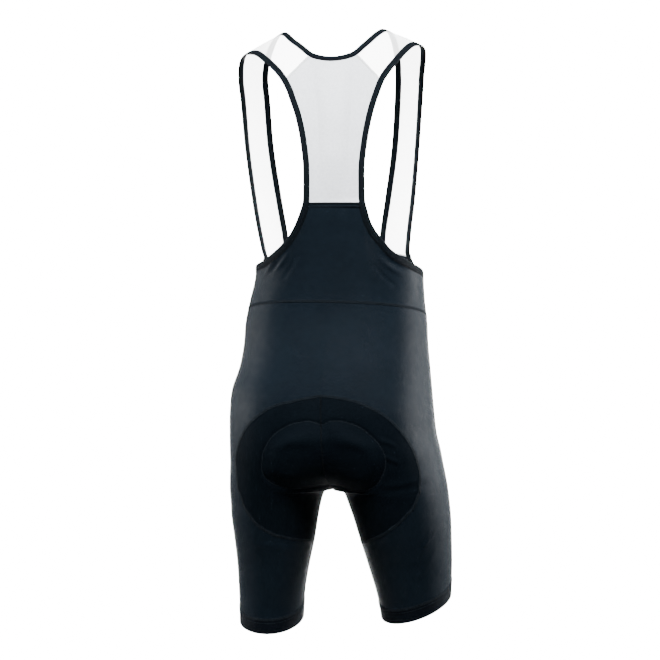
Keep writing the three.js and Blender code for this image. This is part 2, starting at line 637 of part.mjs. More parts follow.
// Net filled in from its four edges, with a crown raised in the middle
function coons(bottom, top, left, right, crown) {
  const columns = bottom.length - 1;
  const rows = left.length - 1;
  const out = [];
  for (let r = 0; r <= rows; r += 1) {
    const v = r / rows;
    const line = [];
    for (let c = 0; c <= columns; c += 1) {
      const u = c / columns;
      const p = new THREE.Vector3();
      p.addScaledVector(bottom[c], 1 - v).addScaledVector(top[c], v);
      p.addScaledVector(left[r], 1 - u).addScaledVector(right[r], u);
      p.addScaledVector(bottom[0], -(1 - u) * (1 - v)).addScaledVector(bottom[columns], -u * (1 - v));
      p.addScaledVector(top[0], -(1 - u) * v).addScaledVector(top[columns], -u * v);
      p.add(crown(u, v));
      line.push(p);
    }
    out.push(line);
  }
  return out;
}

function straightRun(a, b, count) {
  const out = [];
  for (let k = 0; k <= count; k += 1) out.push(a.clone().lerp(b, k / count));
  return out;
}

function bibNet() {
  const seam = pointsOf(YOKE_TOP.slice(YOKE_EDGE, YOKE_EDGE + 2 * BIB_HALF + 1), true);
  const toMiddle = (side) => () => new THREE.Vector3(-side, 0, 0);
  const left = edgeOf(backwards(ARM_LEFT.bib), toMiddle(1), backHalf);
  const right = edgeOf(backwards(ARM_RIGHT.bib), toMiddle(-1), backHalf);
  const neckline = backwards(edgeOf(NECK.back, () => new THREE.Vector3(0, 0.5, -1), neckHalf));
  left[0] = seam[0];
  right[0] = seam[2 * BIB_HALF];
  left[BIB_ROWS] = STRAP_LEFT.outer[0];
  right[BIB_ROWS] = STRAP_RIGHT.outer[0];
  neckline[0] = STRAP_LEFT.inner[0];
  neckline[NECKLINE] = STRAP_RIGHT.inner[0];
  const top = [
    ...drop(straightRun(STRAP_LEFT.outer[0], neckline[0], DIAGONAL)),
    ...drop(neckline),
    ...straightRun(neckline[NECKLINE], STRAP_RIGHT.outer[0], DIAGONAL),
  ];
  const crown = (u, v) => new THREE.Vector3(0, 5 * Math.sin(Math.PI * v) * 4 * u * (1 - u), 0);
  return net(coons(seam, top, left, right, crown), false);
}

function strapNet(edges, half) {
  const start = straightRun(edges.outer[0], edges.inner[0], DIAGONAL);
  const first = half.side > 0 ? FRONT_EDGE : FRONT_TOP.length - 1 - FRONT_EDGE;
  const seam = [];
  for (let k = 0; k <= DIAGONAL; k += 1) {
    const p = FRONT_TOP[first + half.side * k];
    seam.push(across(p.place, p.row, false));
  }
  const outer = edges.outer.slice();
  const inner = edges.inner.slice();
  outer[STRAP_ROWS] = seam[0];
  inner[STRAP_ROWS] = seam[DIAGONAL];
  const last = outer.length - 1;
  const crown = (u, v) => {
    const i = Math.round(v * last);
    const along = outer[Math.min(i + 1, last)].clone().sub(outer[Math.max(i - 1, 0)]);
    const lift = inner[i].clone().sub(outer[i]).cross(along).normalize().multiplyScalar(half.side);
    return lift.multiplyScalar(3 * Math.sin(Math.PI * v) * 4 * u * (1 - u));
  };
  return net(coons(start, seam, outer, inner, crown), false);
}

// Cloth solids

const keyOf = (p) => `${Math.round(p.x * 2000)},${Math.round(p.y * 2000)},${Math.round(p.z * 2000)}`;

// Joins nets into one skin of shared points and triangles
function skin(nets) {
  const points = [];
  const index = new Map();
  const triangles = [];
  const idOf = (p) => {
    const key = keyOf(p);
    if (!index.has(key)) {
      index.set(key, points.length);
      points.push(p.clone());
    }
    return index.get(key);
  };
  for (const { rows, flip } of nets) {
    const ids = rows.map((line) => line.map(idOf));
    for (let r = 0; r + 1 < ids.length; r += 1) {
      for (let c = 0; c + 1 < ids[r].length; c += 1) {
        const quad = [ids[r][c], ids[r + 1][c], ids[r + 1][c + 1], ids[r][c + 1]];
        const turned = flip ? quad.reverse() : quad;
        for (const t of [[turned[0], turned[1], turned[2]], [turned[0], turned[2], turned[3]]]) {
          if (new Set(t).size === 3) triangles.push(t);
        }
      }
    }
  }
  return { points, triangles };
}

function faceNormal(points, t) {
  const a = points[t[1]].clone().sub(points[t[0]]);
  return a.cross(points[t[2]].clone().sub(points[t[0]]));
}

// Turns a skin round if it faces the given inner point
function facingOut(sheet, inside) {
  let sum = 0;
  for (const t of sheet.triangles) {
    const centre = new THREE.Vector3();
    for (const i of t) centre.addScaledVector(sheet.points[i], 1 / 3);
    sum += faceNormal(sheet.points, t).dot(centre.sub(inside));
  }
  if (sum < 0) sheet.triangles.forEach((t) => t.reverse());
  return sheet;
}

// Directions out of the cloth, shared by all panels that meet at a point
const sharedNormals = new Map();

function gatherNormals(sheet) {
  for (const t of sheet.triangles) {
    const n = faceNormal(sheet.points, t);
    for (const i of t) {
      const key = keyOf(sheet.points[i]);
      if (!sharedNormals.has(key)) sharedNormals.set(key, new THREE.Vector3());
      sharedNormals.get(key).add(n);
    }
  }
}

const normalAt = (p) => sharedNormals.get(keyOf(p)).clone().normalize();

// Border edges of a skin, each with the cloth on its left
function borderOf(sheet) {
  const seen = new Map();
  for (const t of sheet.triangles) {
    for (let k = 0; k < 3; k += 1) seen.set(`${t[k]},${t[(k + 1) % 3]}`, [t[k], t[(k + 1) % 3]]);
  }
  return [...seen.values()].filter(([a, b]) => !seen.has(`${b},${a}`));
}

// Draws the border of a skin in by half a seam gap
function drawIn(sheet, normals, amount) {
  const pulls = new Map();
  for (const [a, b] of borderOf(sheet)) {
    for (const i of [a, b]) {
      const inward = normals[i].clone().cross(sheet.points[b].clone().sub(sheet.points[a])).normalize();
      if (!pulls.has(i)) pulls.set(i, []);
      pulls.get(i).push(inward);
    }
  }
  const moved = sheet.points.map((p) => p.clone());
  for (const [i, list] of pulls) {
    const sum = list.reduce((total, v) => total.add(v), new THREE.Vector3());
    const share = list.length === 2 ? 1 + list[0].dot(list[1]) : 1;
    moved[i].addScaledVector(sum, amount / Math.max(share, 0.35));
  }
  return moved;
}

// Solid between two offsets of a skin
function solid(sheet, normals, outerAt, innerAt) {
  const count = sheet.points.length;
  const positions = [];
  const base = drawIn(sheet, normals, SEAM_GAP / 2);
  for (let i = 0; i < count; i += 1) positions.push(base[i].clone().addScaledVector(normals[i], outerAt(i)));
  for (let i = 0; i < count; i += 1) positions.push(base[i].clone().addScaledVector(normals[i], innerAt(i)));
  const faces = [];
  for (const [a, b, c] of sheet.triangles) faces.push([a, b, c], [c + count, b + count, a + count]);
  for (const [a, b] of borderOf(sheet)) faces.push([b, a, a + count], [b, a + count, b + count]);
  return geometryOf(positions, faces);
}

function geometryOf(positions, faces) {
  const geometry = new THREE.BufferGeometry();
  const numbers = positions.flatMap((p) => [p.x, p.y, p.z]);
  geometry.setAttribute("position", new THREE.Float32BufferAttribute(numbers, 3));
  geometry.setIndex(faces.flat());
  geometry.computeVertexNormals();
  return geometry;
}

function clothSolid(sheet, thickness) {
  const normals = sheet.points.map(normalAt);
  return solid(sheet, normals, () => thickness / 2, () => -thickness / 2);
}

// Binding swept round a closed run of cloth edge points
function bindingSolid(edge, widthAt, outwardHint) {
  const count = edge.length;
  const half = BINDING_THICK / 2;
  const positions = [];
  const faces = [];
  edge.forEach((p, i) => {
    const tangent = edge[(i + 1) % count].clone().sub(edge[(i + count - 1) % count]).normalize();
    const normal = normalAt(p);
    const out = tangent.clone().cross(normal).normalize();
    if (out.dot(outwardHint(p, i)) < 0) out.negate();
    const width = widthAt(i) + BINDING_START;
    const section = [
      [BINDING_START, -half], [BINDING_START, half], [width - 1.2, half],
      [width, half * 0.4], [width, -half * 0.4], [width - 1.2, -half],
    ];
    for (const [o, n] of section) {
      positions.push(p.clone().addScaledVector(out, o).addScaledVector(normal, n));
    }
  });
  for (let i = 0; i < count; i += 1) {
    const j = (i + 1) % count;
    for (let k = 0; k < 6; k += 1) {
      const m = (k + 1) % 6;
      faces.push([i * 6 + k, j * 6 + k, j * 6 + m], [i * 6 + k, j * 6 + m, i * 6 + m]);
    }
  }
  return rightWayOut(geometryOf(positions, faces));
}

// Turns a closed solid's faces if they face inwards
function rightWayOut(geometry) {
  const index = geometry.getIndex().array;
  const at = (i) => new THREE.Vector3().fromBufferAttribute(geometry.getAttribute("position"), i);
  let volume = 0;
  for (let i = 0; i < index.length; i += 3) {
    volume += at(index[i]).dot(at(index[i + 1]).cross(at(index[i + 2])));
  }
  if (volume < 0) {
    for (let i = 0; i < index.length; i += 3) {
      [index[i], index[i + 2]] = [index[i + 2], index[i]];
    }
    geometry.computeVertexNormals();
  }
  return geometry;
}

// Pad

// Angle at which a section lies a given distance from the middle plane
function angleAtReach(side, row, isBack, reach) {
  const s = sectionAt(row);
  const spread = side > 0 ? s.spreadL : s.spreadR;
  const out = side > 0 ? s.outL : s.outR;
  const inner = Math.max(0, side > 0 ? s.inL : s.inR);
  if (reach > spread) return Math.acos(((reach - spread) / (out - spread)) ** (s.square / 2));
  const inward = row >= CROTCH ? spread - inner : spread / pinch(s, row, isBack);
  return Math.acos(clamp((reach - spread) / inward, -1, 1));
}

function padRows(half, isBack) {
  return half.seat.slice((isBack ? PAD_FIRST_ROW : PAD_FRONT_FIRST_ROW) - 1, SEAT_ROWS + PAD_THIGH_ROWS);
}

function padNet(half, isBack) {
  const side = half.side;
  const reaches = isBack ? PAD_BACK_REACH : PAD_FRONT_REACH;
  const rows = padRows(half, isBack).map((row, i) => {
    const end = endAngle(row, isBack);
    const start = Math.min(end, angleAtReach(side, row, isBack, reaches[i]));
    const line = [];
    for (let k = 0; k <= PAD_COLUMNS; k += 1) {
      const angle = blend(start, end, k / PAD_COLUMNS);
      line.push(body(side, row, isBack ? angle : -angle));
    }
    return line;
  });
  return net(rows, (side < 0) !== !isBack);
}

function padSolid() {
  const backs = [padNet(LEFT, true), padNet(RIGHT, true)];
  const sheet = skin([...backs, padNet(LEFT, false), padNet(RIGHT, false)]);
  const sums = sheet.points.map(() => new THREE.Vector3());
  for (const t of sheet.triangles) {
    const n = faceNormal(sheet.points, t);
    t.forEach((i) => sums[i].add(n));
  }
  const normals = sums.map((n) => n.normalize());
  const rim = new Set(borderOf(sheet).flat());
  const outer = -(LYCRA / 2 + PAD_CLEARANCE);
  return solid(sheet, normals, () => outer, (i) => outer - (rim.has(i) ? PAD_EDGE : PAD_MIDDLE));
}

// The garment

const group = new THREE.Group();
group.name = "bib_shorts";

function add(name, geometry, color, roughness) {
  const mesh = new THREE.Mesh(geometry, new THREE.MeshStandardMaterial({ color, roughness, metalness: 0 }));
  mesh.name = name;
  group.add(mesh);
}

const CHEST_HEIGHT = -150;
const SHOULDER_HEIGHT = -180;
const YOKE_HEIGHT = -360;
const STOMACH_HEIGHT = -400;
const outwards = (oneNet, height) => facingOut(skin([oneNet]), new THREE.Vector3(0, 0, height));
const mainPanel = (half) => panelNet(half, FRONT_COLUMNS, half.columns);
const sheets = {
  bib_back: outwards(bibNet(), CHEST_HEIGHT),
  strap_left: outwards(strapNet(STRAP_LEFT, LEFT), SHOULDER_HEIGHT),
  strap_right: outwards(strapNet(STRAP_RIGHT, RIGHT), SHOULDER_HEIGHT),
  back_yoke: outwards(bandNet(YOKE_TOP, waistBack(), YOKE_ROWS, true), YOKE_HEIGHT),
  front_yoke: outwards(bandNet(FRONT_TOP, waistFront(), FRONT_YOKE_ROWS, false), STOMACH_HEIGHT),
  shorts_main: skin([mainPanel(LEFT), mainPanel(RIGHT)]),
  shorts_front_left: skin([panelNet(LEFT, 0, FRONT_COLUMNS)]),
  shorts_front_right: skin([panelNet(RIGHT, 0, FRONT_COLUMNS)]),
  seat_insert_left: skin([insertNet(LEFT)]),
  seat_insert_right: skin([insertNet(RIGHT)]),
  hem_left: skin([hemNet(LEFT)]),
  hem_right: skin([hemNet(RIGHT)]),
};
Object.values(sheets).forEach(gatherNormals);

const DARK = 0x1d242b;
const INSERT = 0x14181c;
const WHITE = 0xe9ecef;
const TRIM = 0x15191c;
const LOOKS = {
  bib_back: [MESH_CLOTH, WHITE], strap_left: [MESH_CLOTH, WHITE], strap_right: [MESH_CLOTH, WHITE],
  seat_insert_left: [LYCRA, INSERT], seat_insert_right: [LYCRA, INSERT],
  hem_left: [HEM_CLOTH, TRIM], hem_right: [HEM_CLOTH, TRIM],
};
for (const [name, sheet] of Object.entries(sheets)) {
  const [thickness, color] = LOOKS[name] ?? [LYCRA, DARK];
  add(name, clothSolid(sheet, thickness), color, 0.75);
}
add("seat_pad", padSolid(), 0x30363c, 0.9);

// Cloth edge runs for the bindings
const frontPoint = (j) => across(FRONT_TOP[j].place, FRONT_TOP[j].row, false);
const backPoint = (j) => across(YOKE_TOP[j].place, YOKE_TOP[j].row, true);
const bibRows = bibNet().rows;

// Width of a binding at a step down a strap, from the back to the front
const widthDown = (first, i) => blend(first, BINDING_FRONT, clamp((i / STRAP_ROWS) * 2.2, 0, 1));

function armholeRun(side) {
  const straps = side > 0 ? STRAP_LEFT.outer : STRAP_RIGHT.outer;
  const run = [];
  for (let i = 0; i < STRAP_ROWS; i += 1) run.push({ p: straps[i], width: widthDown(BINDING_BACK, i) });
  const count = FRONT_TOP.length - 1;
  for (let k = FRONT_EDGE; k > 0; k -= 1) {
    run.push({ p: frontPoint(side > 0 ? k : count - k), width: frontHalf(k / FRONT_EDGE) * 2 });
  }
  const yokeCount = YOKE_TOP.length - 1;
  for (let k = 0; k < YOKE_EDGE; k += 1) {
    run.push({ p: backPoint(side > 0 ? k : yokeCount - k), width: BINDING_BACK });
  }
  for (let r = 0; r < BIB_ROWS; r += 1) {
    const line = bibRows[r];
    run.push({ p: side > 0 ? line[0] : line[line.length - 1], width: BINDING_BACK });
  }
  return run;
}

function neckRun() {
  const run = [];
  const top = bibRows[bibRows.length - 1];
  const start = top.length - 1 - DIAGONAL;
  for (let k = 0; k < NECKLINE; k += 1) run.push({ p: top[start - k], width: BINDING_NECK });
  for (let i = 0; i < STRAP_ROWS; i += 1) {
    run.push({ p: STRAP_LEFT.inner[i], width: widthDown(BINDING_NECK, i) });
  }
  const first = FRONT_EDGE + DIAGONAL;
  for (let k = 0; k < 2 * BIB_HALF; k += 1) run.push({ p: frontPoint(first + k), width: BINDING_FRONT });
  run.push({ p: frontPoint(first + 2 * BIB_HALF), width: BINDING_FRONT });
  for (let i = STRAP_ROWS - 1; i > 0; i -= 1) {
    run.push({ p: STRAP_RIGHT.inner[i], width: widthDown(BINDING_NECK, i) });
  }
  return run;
}

// Direction from the cloth edge into the opening, found from the panel borders
function openingSide() {
  const outward = new Map();
  for (const sheet of Object.values(sheets)) {
    const normals = sheet.points.map(normalAt);
    for (const [a, b] of borderOf(sheet)) {
      const out = sheet.points[b].clone().sub(sheet.points[a]).cross(normals[a]).normalize();
      for (const i of [a, b]) {
        const key = keyOf(sheet.points[i]);
        if (!outward.has(key)) outward.set(key, new THREE.Vector3());
        outward.get(key).add(out);
      }
    }
  }
  return (p) => outward.get(keyOf(p));
}

const intoOpening = openingSide();
function addBinding(name, run) {
  const widths = run.map((r) => r.width);
  add(name, bindingSolid(run.map((r) => r.p), (i) => widths[i], intoOpening), TRIM, 0.8);
}
addBinding("armhole_binding_left", armholeRun(1));
addBinding("armhole_binding_right", armholeRun(-1));
addBinding("neck_binding", neckRun());

export default group;
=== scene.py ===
"""Cycling bib shorts in their worn form: cloth shells, seams, stitches and finishes over the solids."""

import math

import bpy
import numpy as np
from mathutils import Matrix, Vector


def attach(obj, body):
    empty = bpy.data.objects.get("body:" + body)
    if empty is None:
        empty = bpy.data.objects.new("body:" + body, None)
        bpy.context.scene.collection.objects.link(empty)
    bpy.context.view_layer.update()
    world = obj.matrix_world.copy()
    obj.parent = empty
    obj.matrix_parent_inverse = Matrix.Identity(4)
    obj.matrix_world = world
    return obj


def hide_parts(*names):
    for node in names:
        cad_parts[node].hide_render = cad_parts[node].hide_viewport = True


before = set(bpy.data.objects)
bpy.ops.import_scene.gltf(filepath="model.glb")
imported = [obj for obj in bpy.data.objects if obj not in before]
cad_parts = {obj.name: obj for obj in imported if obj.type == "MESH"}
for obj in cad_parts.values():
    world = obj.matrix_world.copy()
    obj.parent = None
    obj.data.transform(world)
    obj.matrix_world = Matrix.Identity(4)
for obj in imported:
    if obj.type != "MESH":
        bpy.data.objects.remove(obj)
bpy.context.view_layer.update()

# All shapes are worked out in millimetres and turned into metres when a mesh is made.
MM = 0.001

# Cloth and trim sizes
LYCRA = 1.5
MESH_CLOTH = 1.1
HEM_CLOTH = 2.2
BINDING_THICK = 2.6
SEAM_GAP = 0.3
BINDING_START = 0.15
BINDING_LAP = 1.3
HEM_HEIGHT = 24
BINDING_BACK = 8.6
BINDING_FRONT = 8.6
BINDING_NECK = 7.2
PAD_EDGE = 2.2
PAD_MIDDLE = 8
PAD_CLEARANCE = 2.6

# How finely each panel is divided
FINE = 5
BACK_COLUMNS = 13 * FINE
SIDE_COLUMNS = 6 * FINE
FRONT_COLUMNS = 7 * FINE
YOKE_EDGE = 7 * FINE
BIB_HALF = 6 * FINE
BIB_ROWS = 8 * FINE
DIAGONAL = 3 * FINE
FRONT_EDGE = 4 * FINE
STRAP_ROWS = 14 * FINE
NECKLINE = 6 * FINE
UPPER_ROWS = 34
SEAT_ROWS = 90
CORNER_ROWS = 12
THIGH_ROWS = 50
LOWER_ROWS = 28
YOKE_ROWS = 44
FRONT_YOKE_ROWS = 44
INSERT_COLUMNS = 96
HEM_ROWS = 8
PAD_COLUMNS = 30
EDGE_SAMPLES = 901
LOOP_SAMPLES = 1201
CREASE_POINTS = 14
PAD_LINE_POINTS = 260
PAD_SEAM_POINTS = 181

# Rows near which the waist seam and the leg bands cross the body, and how often each crossing is refined
WAIST_ROW = 8.5
HEM_TOP_ROW = 29.5
HEM_FOOT_ROW = 30.5
CUT_PASSES = 14

# Seam between the front panel and the main panel: degrees from the side at its first row, how many
# degrees further round it goes, and over how many rows
FRONT_SEAM_ANGLE = 62
FRONT_SEAM_TURN = 14
FRONT_SEAM_START = 9
FRONT_SEAM_ROWS = 20

# How far the bib and the straps bow out in the middle, and how soon a binding reaches its front width
BIB_CROWN = 5
STRAP_CROWN = 3
BINDING_TAPER = 2.2

# Least share of the section at which the middle-plane cut counts
NO_CUT = 1e-5

# Distance from the rim over which the pad reaches its full depth
PAD_RISE = 24

# Edges sharper than this many degrees stay sharp
CLOTH_SHARP = 50
TRIM_SHARP = 70

# How far the pattern runs on over the closing step of a trim and over the closing side of its section
CLOSING_STEP = 5
CLOSING_SIDE = 1

# Level sections of the body from the shoulder blades to below the hems: z height, mid sideways place of
# the middle plane, yaw in degrees, square corner exponent, spread from the middle plane to each thigh's
# middle, out and in reach of each side, back, backMid, front and frontMid depths, ahead of each thigh.
Z, MID, YAW, SQUARE, SPREAD_L, SPREAD_R, OUT_L, OUT_R, IN_L, IN_R = range(10)
BACK, BACK_MID, FRONT, FRONT_MID, AHEAD_L, AHEAD_R = range(10, 16)
SECTIONS = np.array([
    [-30, 0, 0, 2.5, 0, 0, 120, 120, 0, 0, 56, 56, 60, 60, 0, 0],
    [-60, 0, 0, 2.5, 0, 0, 135, 135, 0, 0, 70, 70, 80, 80, 0, 0],
    [-100, 0, 0, 2.5, 0, 0, 148, 148, 0, 0, 85, 85, 100, 100, 0, 0],
    [-150, 0, 0, 2.5, 0, 0, 152, 152, 0, 0, 98, 98, 112, 112, 0, 0],
    [-205, -1, 0.5, 2.5, 0, 0, 148, 148, 0, 0, 105, 105, 113, 113, 0, 0],
    [-265, -4, 1.5, 2.5, 0, 0, 142, 142, 0, 0, 106, 106, 111, 111, 0, 0],
    [-320, -7, 3, 2.5, 0, 0, 136, 136, 0, 0, 101, 101, 108, 108, 0, 0],
    [-370, -9, 4.5, 2.5, 0, 0, 133, 133, 0, 0, 98, 98, 106, 106, 0, 0],
    [-416, -6, 6, 2.5, 0, 0, 139.5, 138.5, 0, 0, 97, 97, 104, 104, 0, 0],
    [-450, -5, 7, 2.45, 4, 4, 145.5, 143.5, 0, 0, 99, 98.95, 103, 102.95, 0, 0],
    [-484, -3, 8, 2.4, 12, 12, 146.2, 147, 0, 0, 104, 103.8, 103, 102.8, 0, 0],
    [-520, -1, 9, 2.35, 25, 25, 150.6, 152.2, 0, 0, 111, 110.5, 103, 102.6, 0, 0],
    [-556, 2, 9, 2.3, 40, 40, 159.6, 158.4, 0, 0, 117.5, 116.3, 103, 102.2, 0, 0],
    [-592, 2, 9, 2.3, 55, 55, 162.8, 161.6, 0, 0, 121.5, 119.3, 102, 100.8, 0, 0],
    [-625, 1, 9, 2.3, 66, 67.5, 163.8, 164.4, 0, 0, 121, 117.5, 100.5, 97.5, 0, 0],
    [-652, 0, 9, 2.25, 74, 77, 164.8, 169.8, 0, 0, 117, 111, 99, 91, 0, 0],
    [-674, 0, 9, 2.2, 80, 84, 164.8, 174.2, 0, 0, 110.5, 99, 97, 79, 0, 0],
    [-690, 0, 9, 2.18, 84, 89, 165.6, 177.6, 0, 0, 105, 83, 95.5, 64, 0, 0],
    [-701, 0, 9, 2.16, 86.8, 92.3, 166, 179.8, 0, 0, 101.2, 64, 94.4, 49, 0, 0],
    [-708.5, 0, 9, 2.15, 88.5, 94.5, 166.2, 181.1, 0, 0, 98.7, 43, 93.6, 33, 0, 0],
    [-713, 0, 9, 2.14, 89.4, 95.7, 166.3, 181.8, 0, 0, 97.3, 22, 93.1, 17, 0, 0],
    [-715, 0, 9, 2.14, 89.8, 96.2, 166.3, 182, 0, 0, 96.7, 0, 92.9, 0, 0, 0],
    [-716.2, 0, 9, 2.13, 90, 96.5, 166.3, 182.2, 9, 11, 96.3, 0, 92.8, 0, 0, 0],
    [-719, 0, 9, 2.13, 90.6, 97.3, 166.2, 182.6, 15, 17, 95.5, 0, 92.4, 0, 0, 0],
    [-725, 0, 9, 2.12, 91.7, 99, 166, 183.3, 19, 20.5, 93.9, 0, 91.6, 0, 0.4, 0.5],
    [-738, 0, 9, 2.11, 93.5, 102.5, 165.2, 184.7, 22.8, 25, 90.8, 0, 89.6, 0, 1.4, 1.8],
    [-760, 0, 9, 2.1, 95, 107.5, 164.6, 186.4, 27.4, 32.4, 86.5, 0, 86, 0, 3.3, 4.2],
    [-798, 0, 9, 2.08, 96.2, 115.2, 160.6, 187.2, 34, 43.2, 79.5, 0, 79.5, 0, 7, 9],
    [-836, 0, 9, 2.05, 97.6, 120.8, 157.4, 187.2, 42.6, 54.4, 72, 0, 73, 0, 11, 14],
    [-875, 0, 9, 2, 99.2, 125.6, 156.2, 185.6, 50, 65.6, 66.5, 0, 68, 0, 15, 19],
    [-905, 0, 9, 2, 100.8, 128, 155.6, 184, 53, 72, 63.5, 0, 64.5, 0, 18, 23],
    [-935, 0, 9, 2, 101.3, 129, 155.4, 182, 54, 76, 62, 0, 62.5, 0, 20, 26],
    [-960, 0, 9, 2, 101.5, 129.5, 155.4, 180, 54.5, 79, 61, 0, 61, 0, 22, 28],
])
LAST = len(SECTIONS) - 1
CROTCH = 21
CROTCH_CORNER = 23.5
YOKE_EDGE_SHARE = 0.76

# Straight cuts through the body: height where x and y are met, slope sideways and backwards
WAIST_SEAM = dict(x=0, y=0, z=-434.3, sideways=0.0436, backwards=0.17)
HEM_LEFT = dict(x=100, y=-34, z=-927, sideways=-0.06, backwards=-0.3)
HEM_RIGHT = dict(x=-132, y=-2, z=-901.5, sideways=-0.34, backwards=-0.25)

# Middle lines of the bindings, as in the solids
STRAP_OUTER_LEFT = [
    (78.3, 62, -70.4), (90.5, 50, -53), (107.5, 33, -35), (122, 14, -22), (134.4, -8, -17), (145, -34, -17),
    (152, -60, -27), (154, -80, -52), (151, -92, -83), (144, -97, -165), (132.5, -90, -248),
    (123.5, -77, -298), (116, -67, -332), (113.5, -64, -344),
]
STRAP_OUTER_RIGHT = [
    (-74.4, 62, -70.4), (-84.9, 50, -53), (-98.8, 33, -35), (-113, 16, -17), (-126, 0, -5), (-136, -14, -2),
    (-145, -40, -5), (-147, -63, -18), (-145.5, -80, -42), (-144, -92, -83), (-139, -97, -165),
    (-131.5, -90, -248), (-125, -76, -298), (-121.5, -66, -332), (-121, -64, -342),
]
STRAP_INNER_LEFT = [
    (36.2, 50, -28.6), (44.9, 44, -20.7), (56, 34, -10.5), (65.9, 22, -1.7), (80, 0, 13), (92, -28, 10),
    (102, -55, -4), (110, -77, -26), (112.5, -90, -50), (110, -102, -82), (103.7, -112, -163),
    (91, -112, -246), (82, -106, -296), (75.5, -98, -334),
]
STRAP_INNER_RIGHT = [
    (-32.3, 51, -26.3), (-43, 43, -16), (-56.3, 27, -2.2), (-68, 13, 10), (-80, -3, 19), (-91, -28, 17),
    (-99, -55, 3), (-104, -77, -20), (-105.5, -90, -48), (-105, -102, -82), (-100.4, -112, -163),
    (-89.6, -112, -246), (-82, -106, -296), (-77, -98, -332),
]
NECKLINE_BACK = [(20, 57, -34.5), (2, 60, -36.3), (-17, 58, -33.2)]
NECKLINE_FRONT = [(64, -104, -352), (40, -107, -366), (0, -108, -372), (-40, -107, -366), (-65, -104, -350)]
ARMHOLE_FRONT_LEFT = [(116.5, -52, -355), (121, -36, -362), (124, -16, -366)]
ARMHOLE_FRONT_RIGHT = [(-125, -54, -358), (-133, -38, -368), (-139, -17, -374)]
ARMHOLE_YOKE_LEFT = [
    (123.7, 0, -365.5), (110.5, 58, -356.5), (90.6, 79, -341.5), (74.4, 90, -326), (63, 96, -310.4),
    (54.9, 99, -295), (48.7, 101, -279.6), (44.4, 103, -265.5),
]
ARMHOLE_YOKE_RIGHT = [
    (-141, 2, -374.5), (-123.2, 56, -364.9), (-106.4, 74, -355.6), (-85.6, 87, -341.5), (-72, 92, -326),
    (-60, 96, -310.4), (-52, 99, -295), (-47.5, 101, -279.6), (-43.8, 103, -265.5),
]
ARMHOLE_BIB_LEFT = [
    (43.5, 103, -240), (44.1, 101, -205), (47, 96, -178), (51.2, 91, -151.6), (58, 83, -123),
    (64.7, 76, -103.3), (70.3, 70, -86.9),
]
ARMHOLE_BIB_RIGHT = [
    (-42.8, 103, -240), (-43.1, 101, -205), (-46.2, 96, -178), (-50.4, 91, -151.6), (-56.6, 83, -123),
    (-62.4, 76, -103.3), (-68, 70, -86.9),
]

# Outline of the seat insert as (x, z), from the top of the centre seam down to the inseam
INSERT_LEFT = [
    (60, -571), (102, -584), (137, -615), (152, -655), (152, -690), (145, -724), (130, -755), (103, -778),
    (69, -789.5),
]
INSERT_RIGHT = [
    (-17, -568), (-46, -577), (-83, -598), (-114, -634), (-129.5, -671), (-132, -698), (-127, -724),
    (-110, -750), (-84, -774), (-62, -788),
]
INSERT_TOP = -563.3
INSERT_FOOT_LEFT = -798
INSERT_FOOT_RIGHT = -799

# Half width of the pad down the back and down the front, by section number
PAD_BACK = [(13.2, 38), (14.4, 75), (15.5, 92), (16.6, 96), (17.7, 92), (18.8, 82), (19.9, 70), (21, 56),
            (22.2, 46), (23.5, 36), (24.1, 0)]
PAD_FRONT = [(16.6, 20), (17.7, 34), (18.8, 40), (19.9, 42), (21, 40), (22.2, 36), (23.5, 30), (24.1, 0)]


# The body's surface


def hermite(b, c, start, end, f):
    """Cubic from b to c with a slope at each end, at shares f of the way."""
    cube = 2 * (b - c) + start + end
    square = 3 * (c - b) - 2 * start - end
    return ((cube * f + square) * f + start) * f + b


def smooth_run(table, place):
    """Values of a table at fractional row numbers, smoothly joined."""
    place = np.asarray(place, float)
    last = len(table) - 1
    low = np.clip(np.floor(place).astype(int), 0, last - 1)
    f = (place - low)[..., None]
    a, b, c, d = (table[np.clip(low + k, 0, last)] for k in (-1, 0, 1, 2))
    return hermite(b, c, (c - a) / 2, (d - b) / 2, f)


ROWS_FINE = np.linspace(0, LAST, 24001)
HEIGHTS_FINE = smooth_run(SECTIONS, ROWS_FINE)[:, Z]


def row_at_height(z):
    """Section number at a height."""
    return np.interp(-np.asarray(z, float), -HEIGHTS_FINE, ROWS_FINE)


def pinch(section, row, is_back):
    """How far the middle-plane cut pulls in a section: 0 at the crest, 1 at the crotch."""
    lobe = np.where(is_back, section[..., BACK], section[..., FRONT])
    middle = np.where(is_back, section[..., BACK_MID], section[..., FRONT_MID])
    ratio = np.clip(middle / lobe, 0, 1)
    return np.where(row >= CROTCH, 1.0, np.sqrt(np.maximum(0, 1 - ratio * ratio)))


def end_angle(row, is_back):
    """Largest angle of a side's section, reached on the middle plane or the inseam."""
    row = np.asarray(row, float)
    cut = pinch(smooth_run(SECTIONS, row), row, is_back)
    return np.where(row >= CROTCH, math.pi, math.pi / 2 + np.arcsin(cut))


def lengths_along(points):
    """Distance from the first point to each point of a line, or of each row of a net."""
    steps = np.linalg.norm(np.diff(points, axis=-2), axis=-1)
    return np.concatenate([np.zeros((*steps.shape[:-1], 1)), np.cumsum(steps, -1)], -1)


def side_values(s, is_left):
    """Spread, outer reach, inner reach and place ahead of one side of a section."""
    pairs = ((SPREAD_L, SPREAD_R), (OUT_L, OUT_R), (IN_L, IN_R), (AHEAD_L, AHEAD_R))
    return (np.where(is_left, s[..., left], s[..., right]) for left, right in pairs)


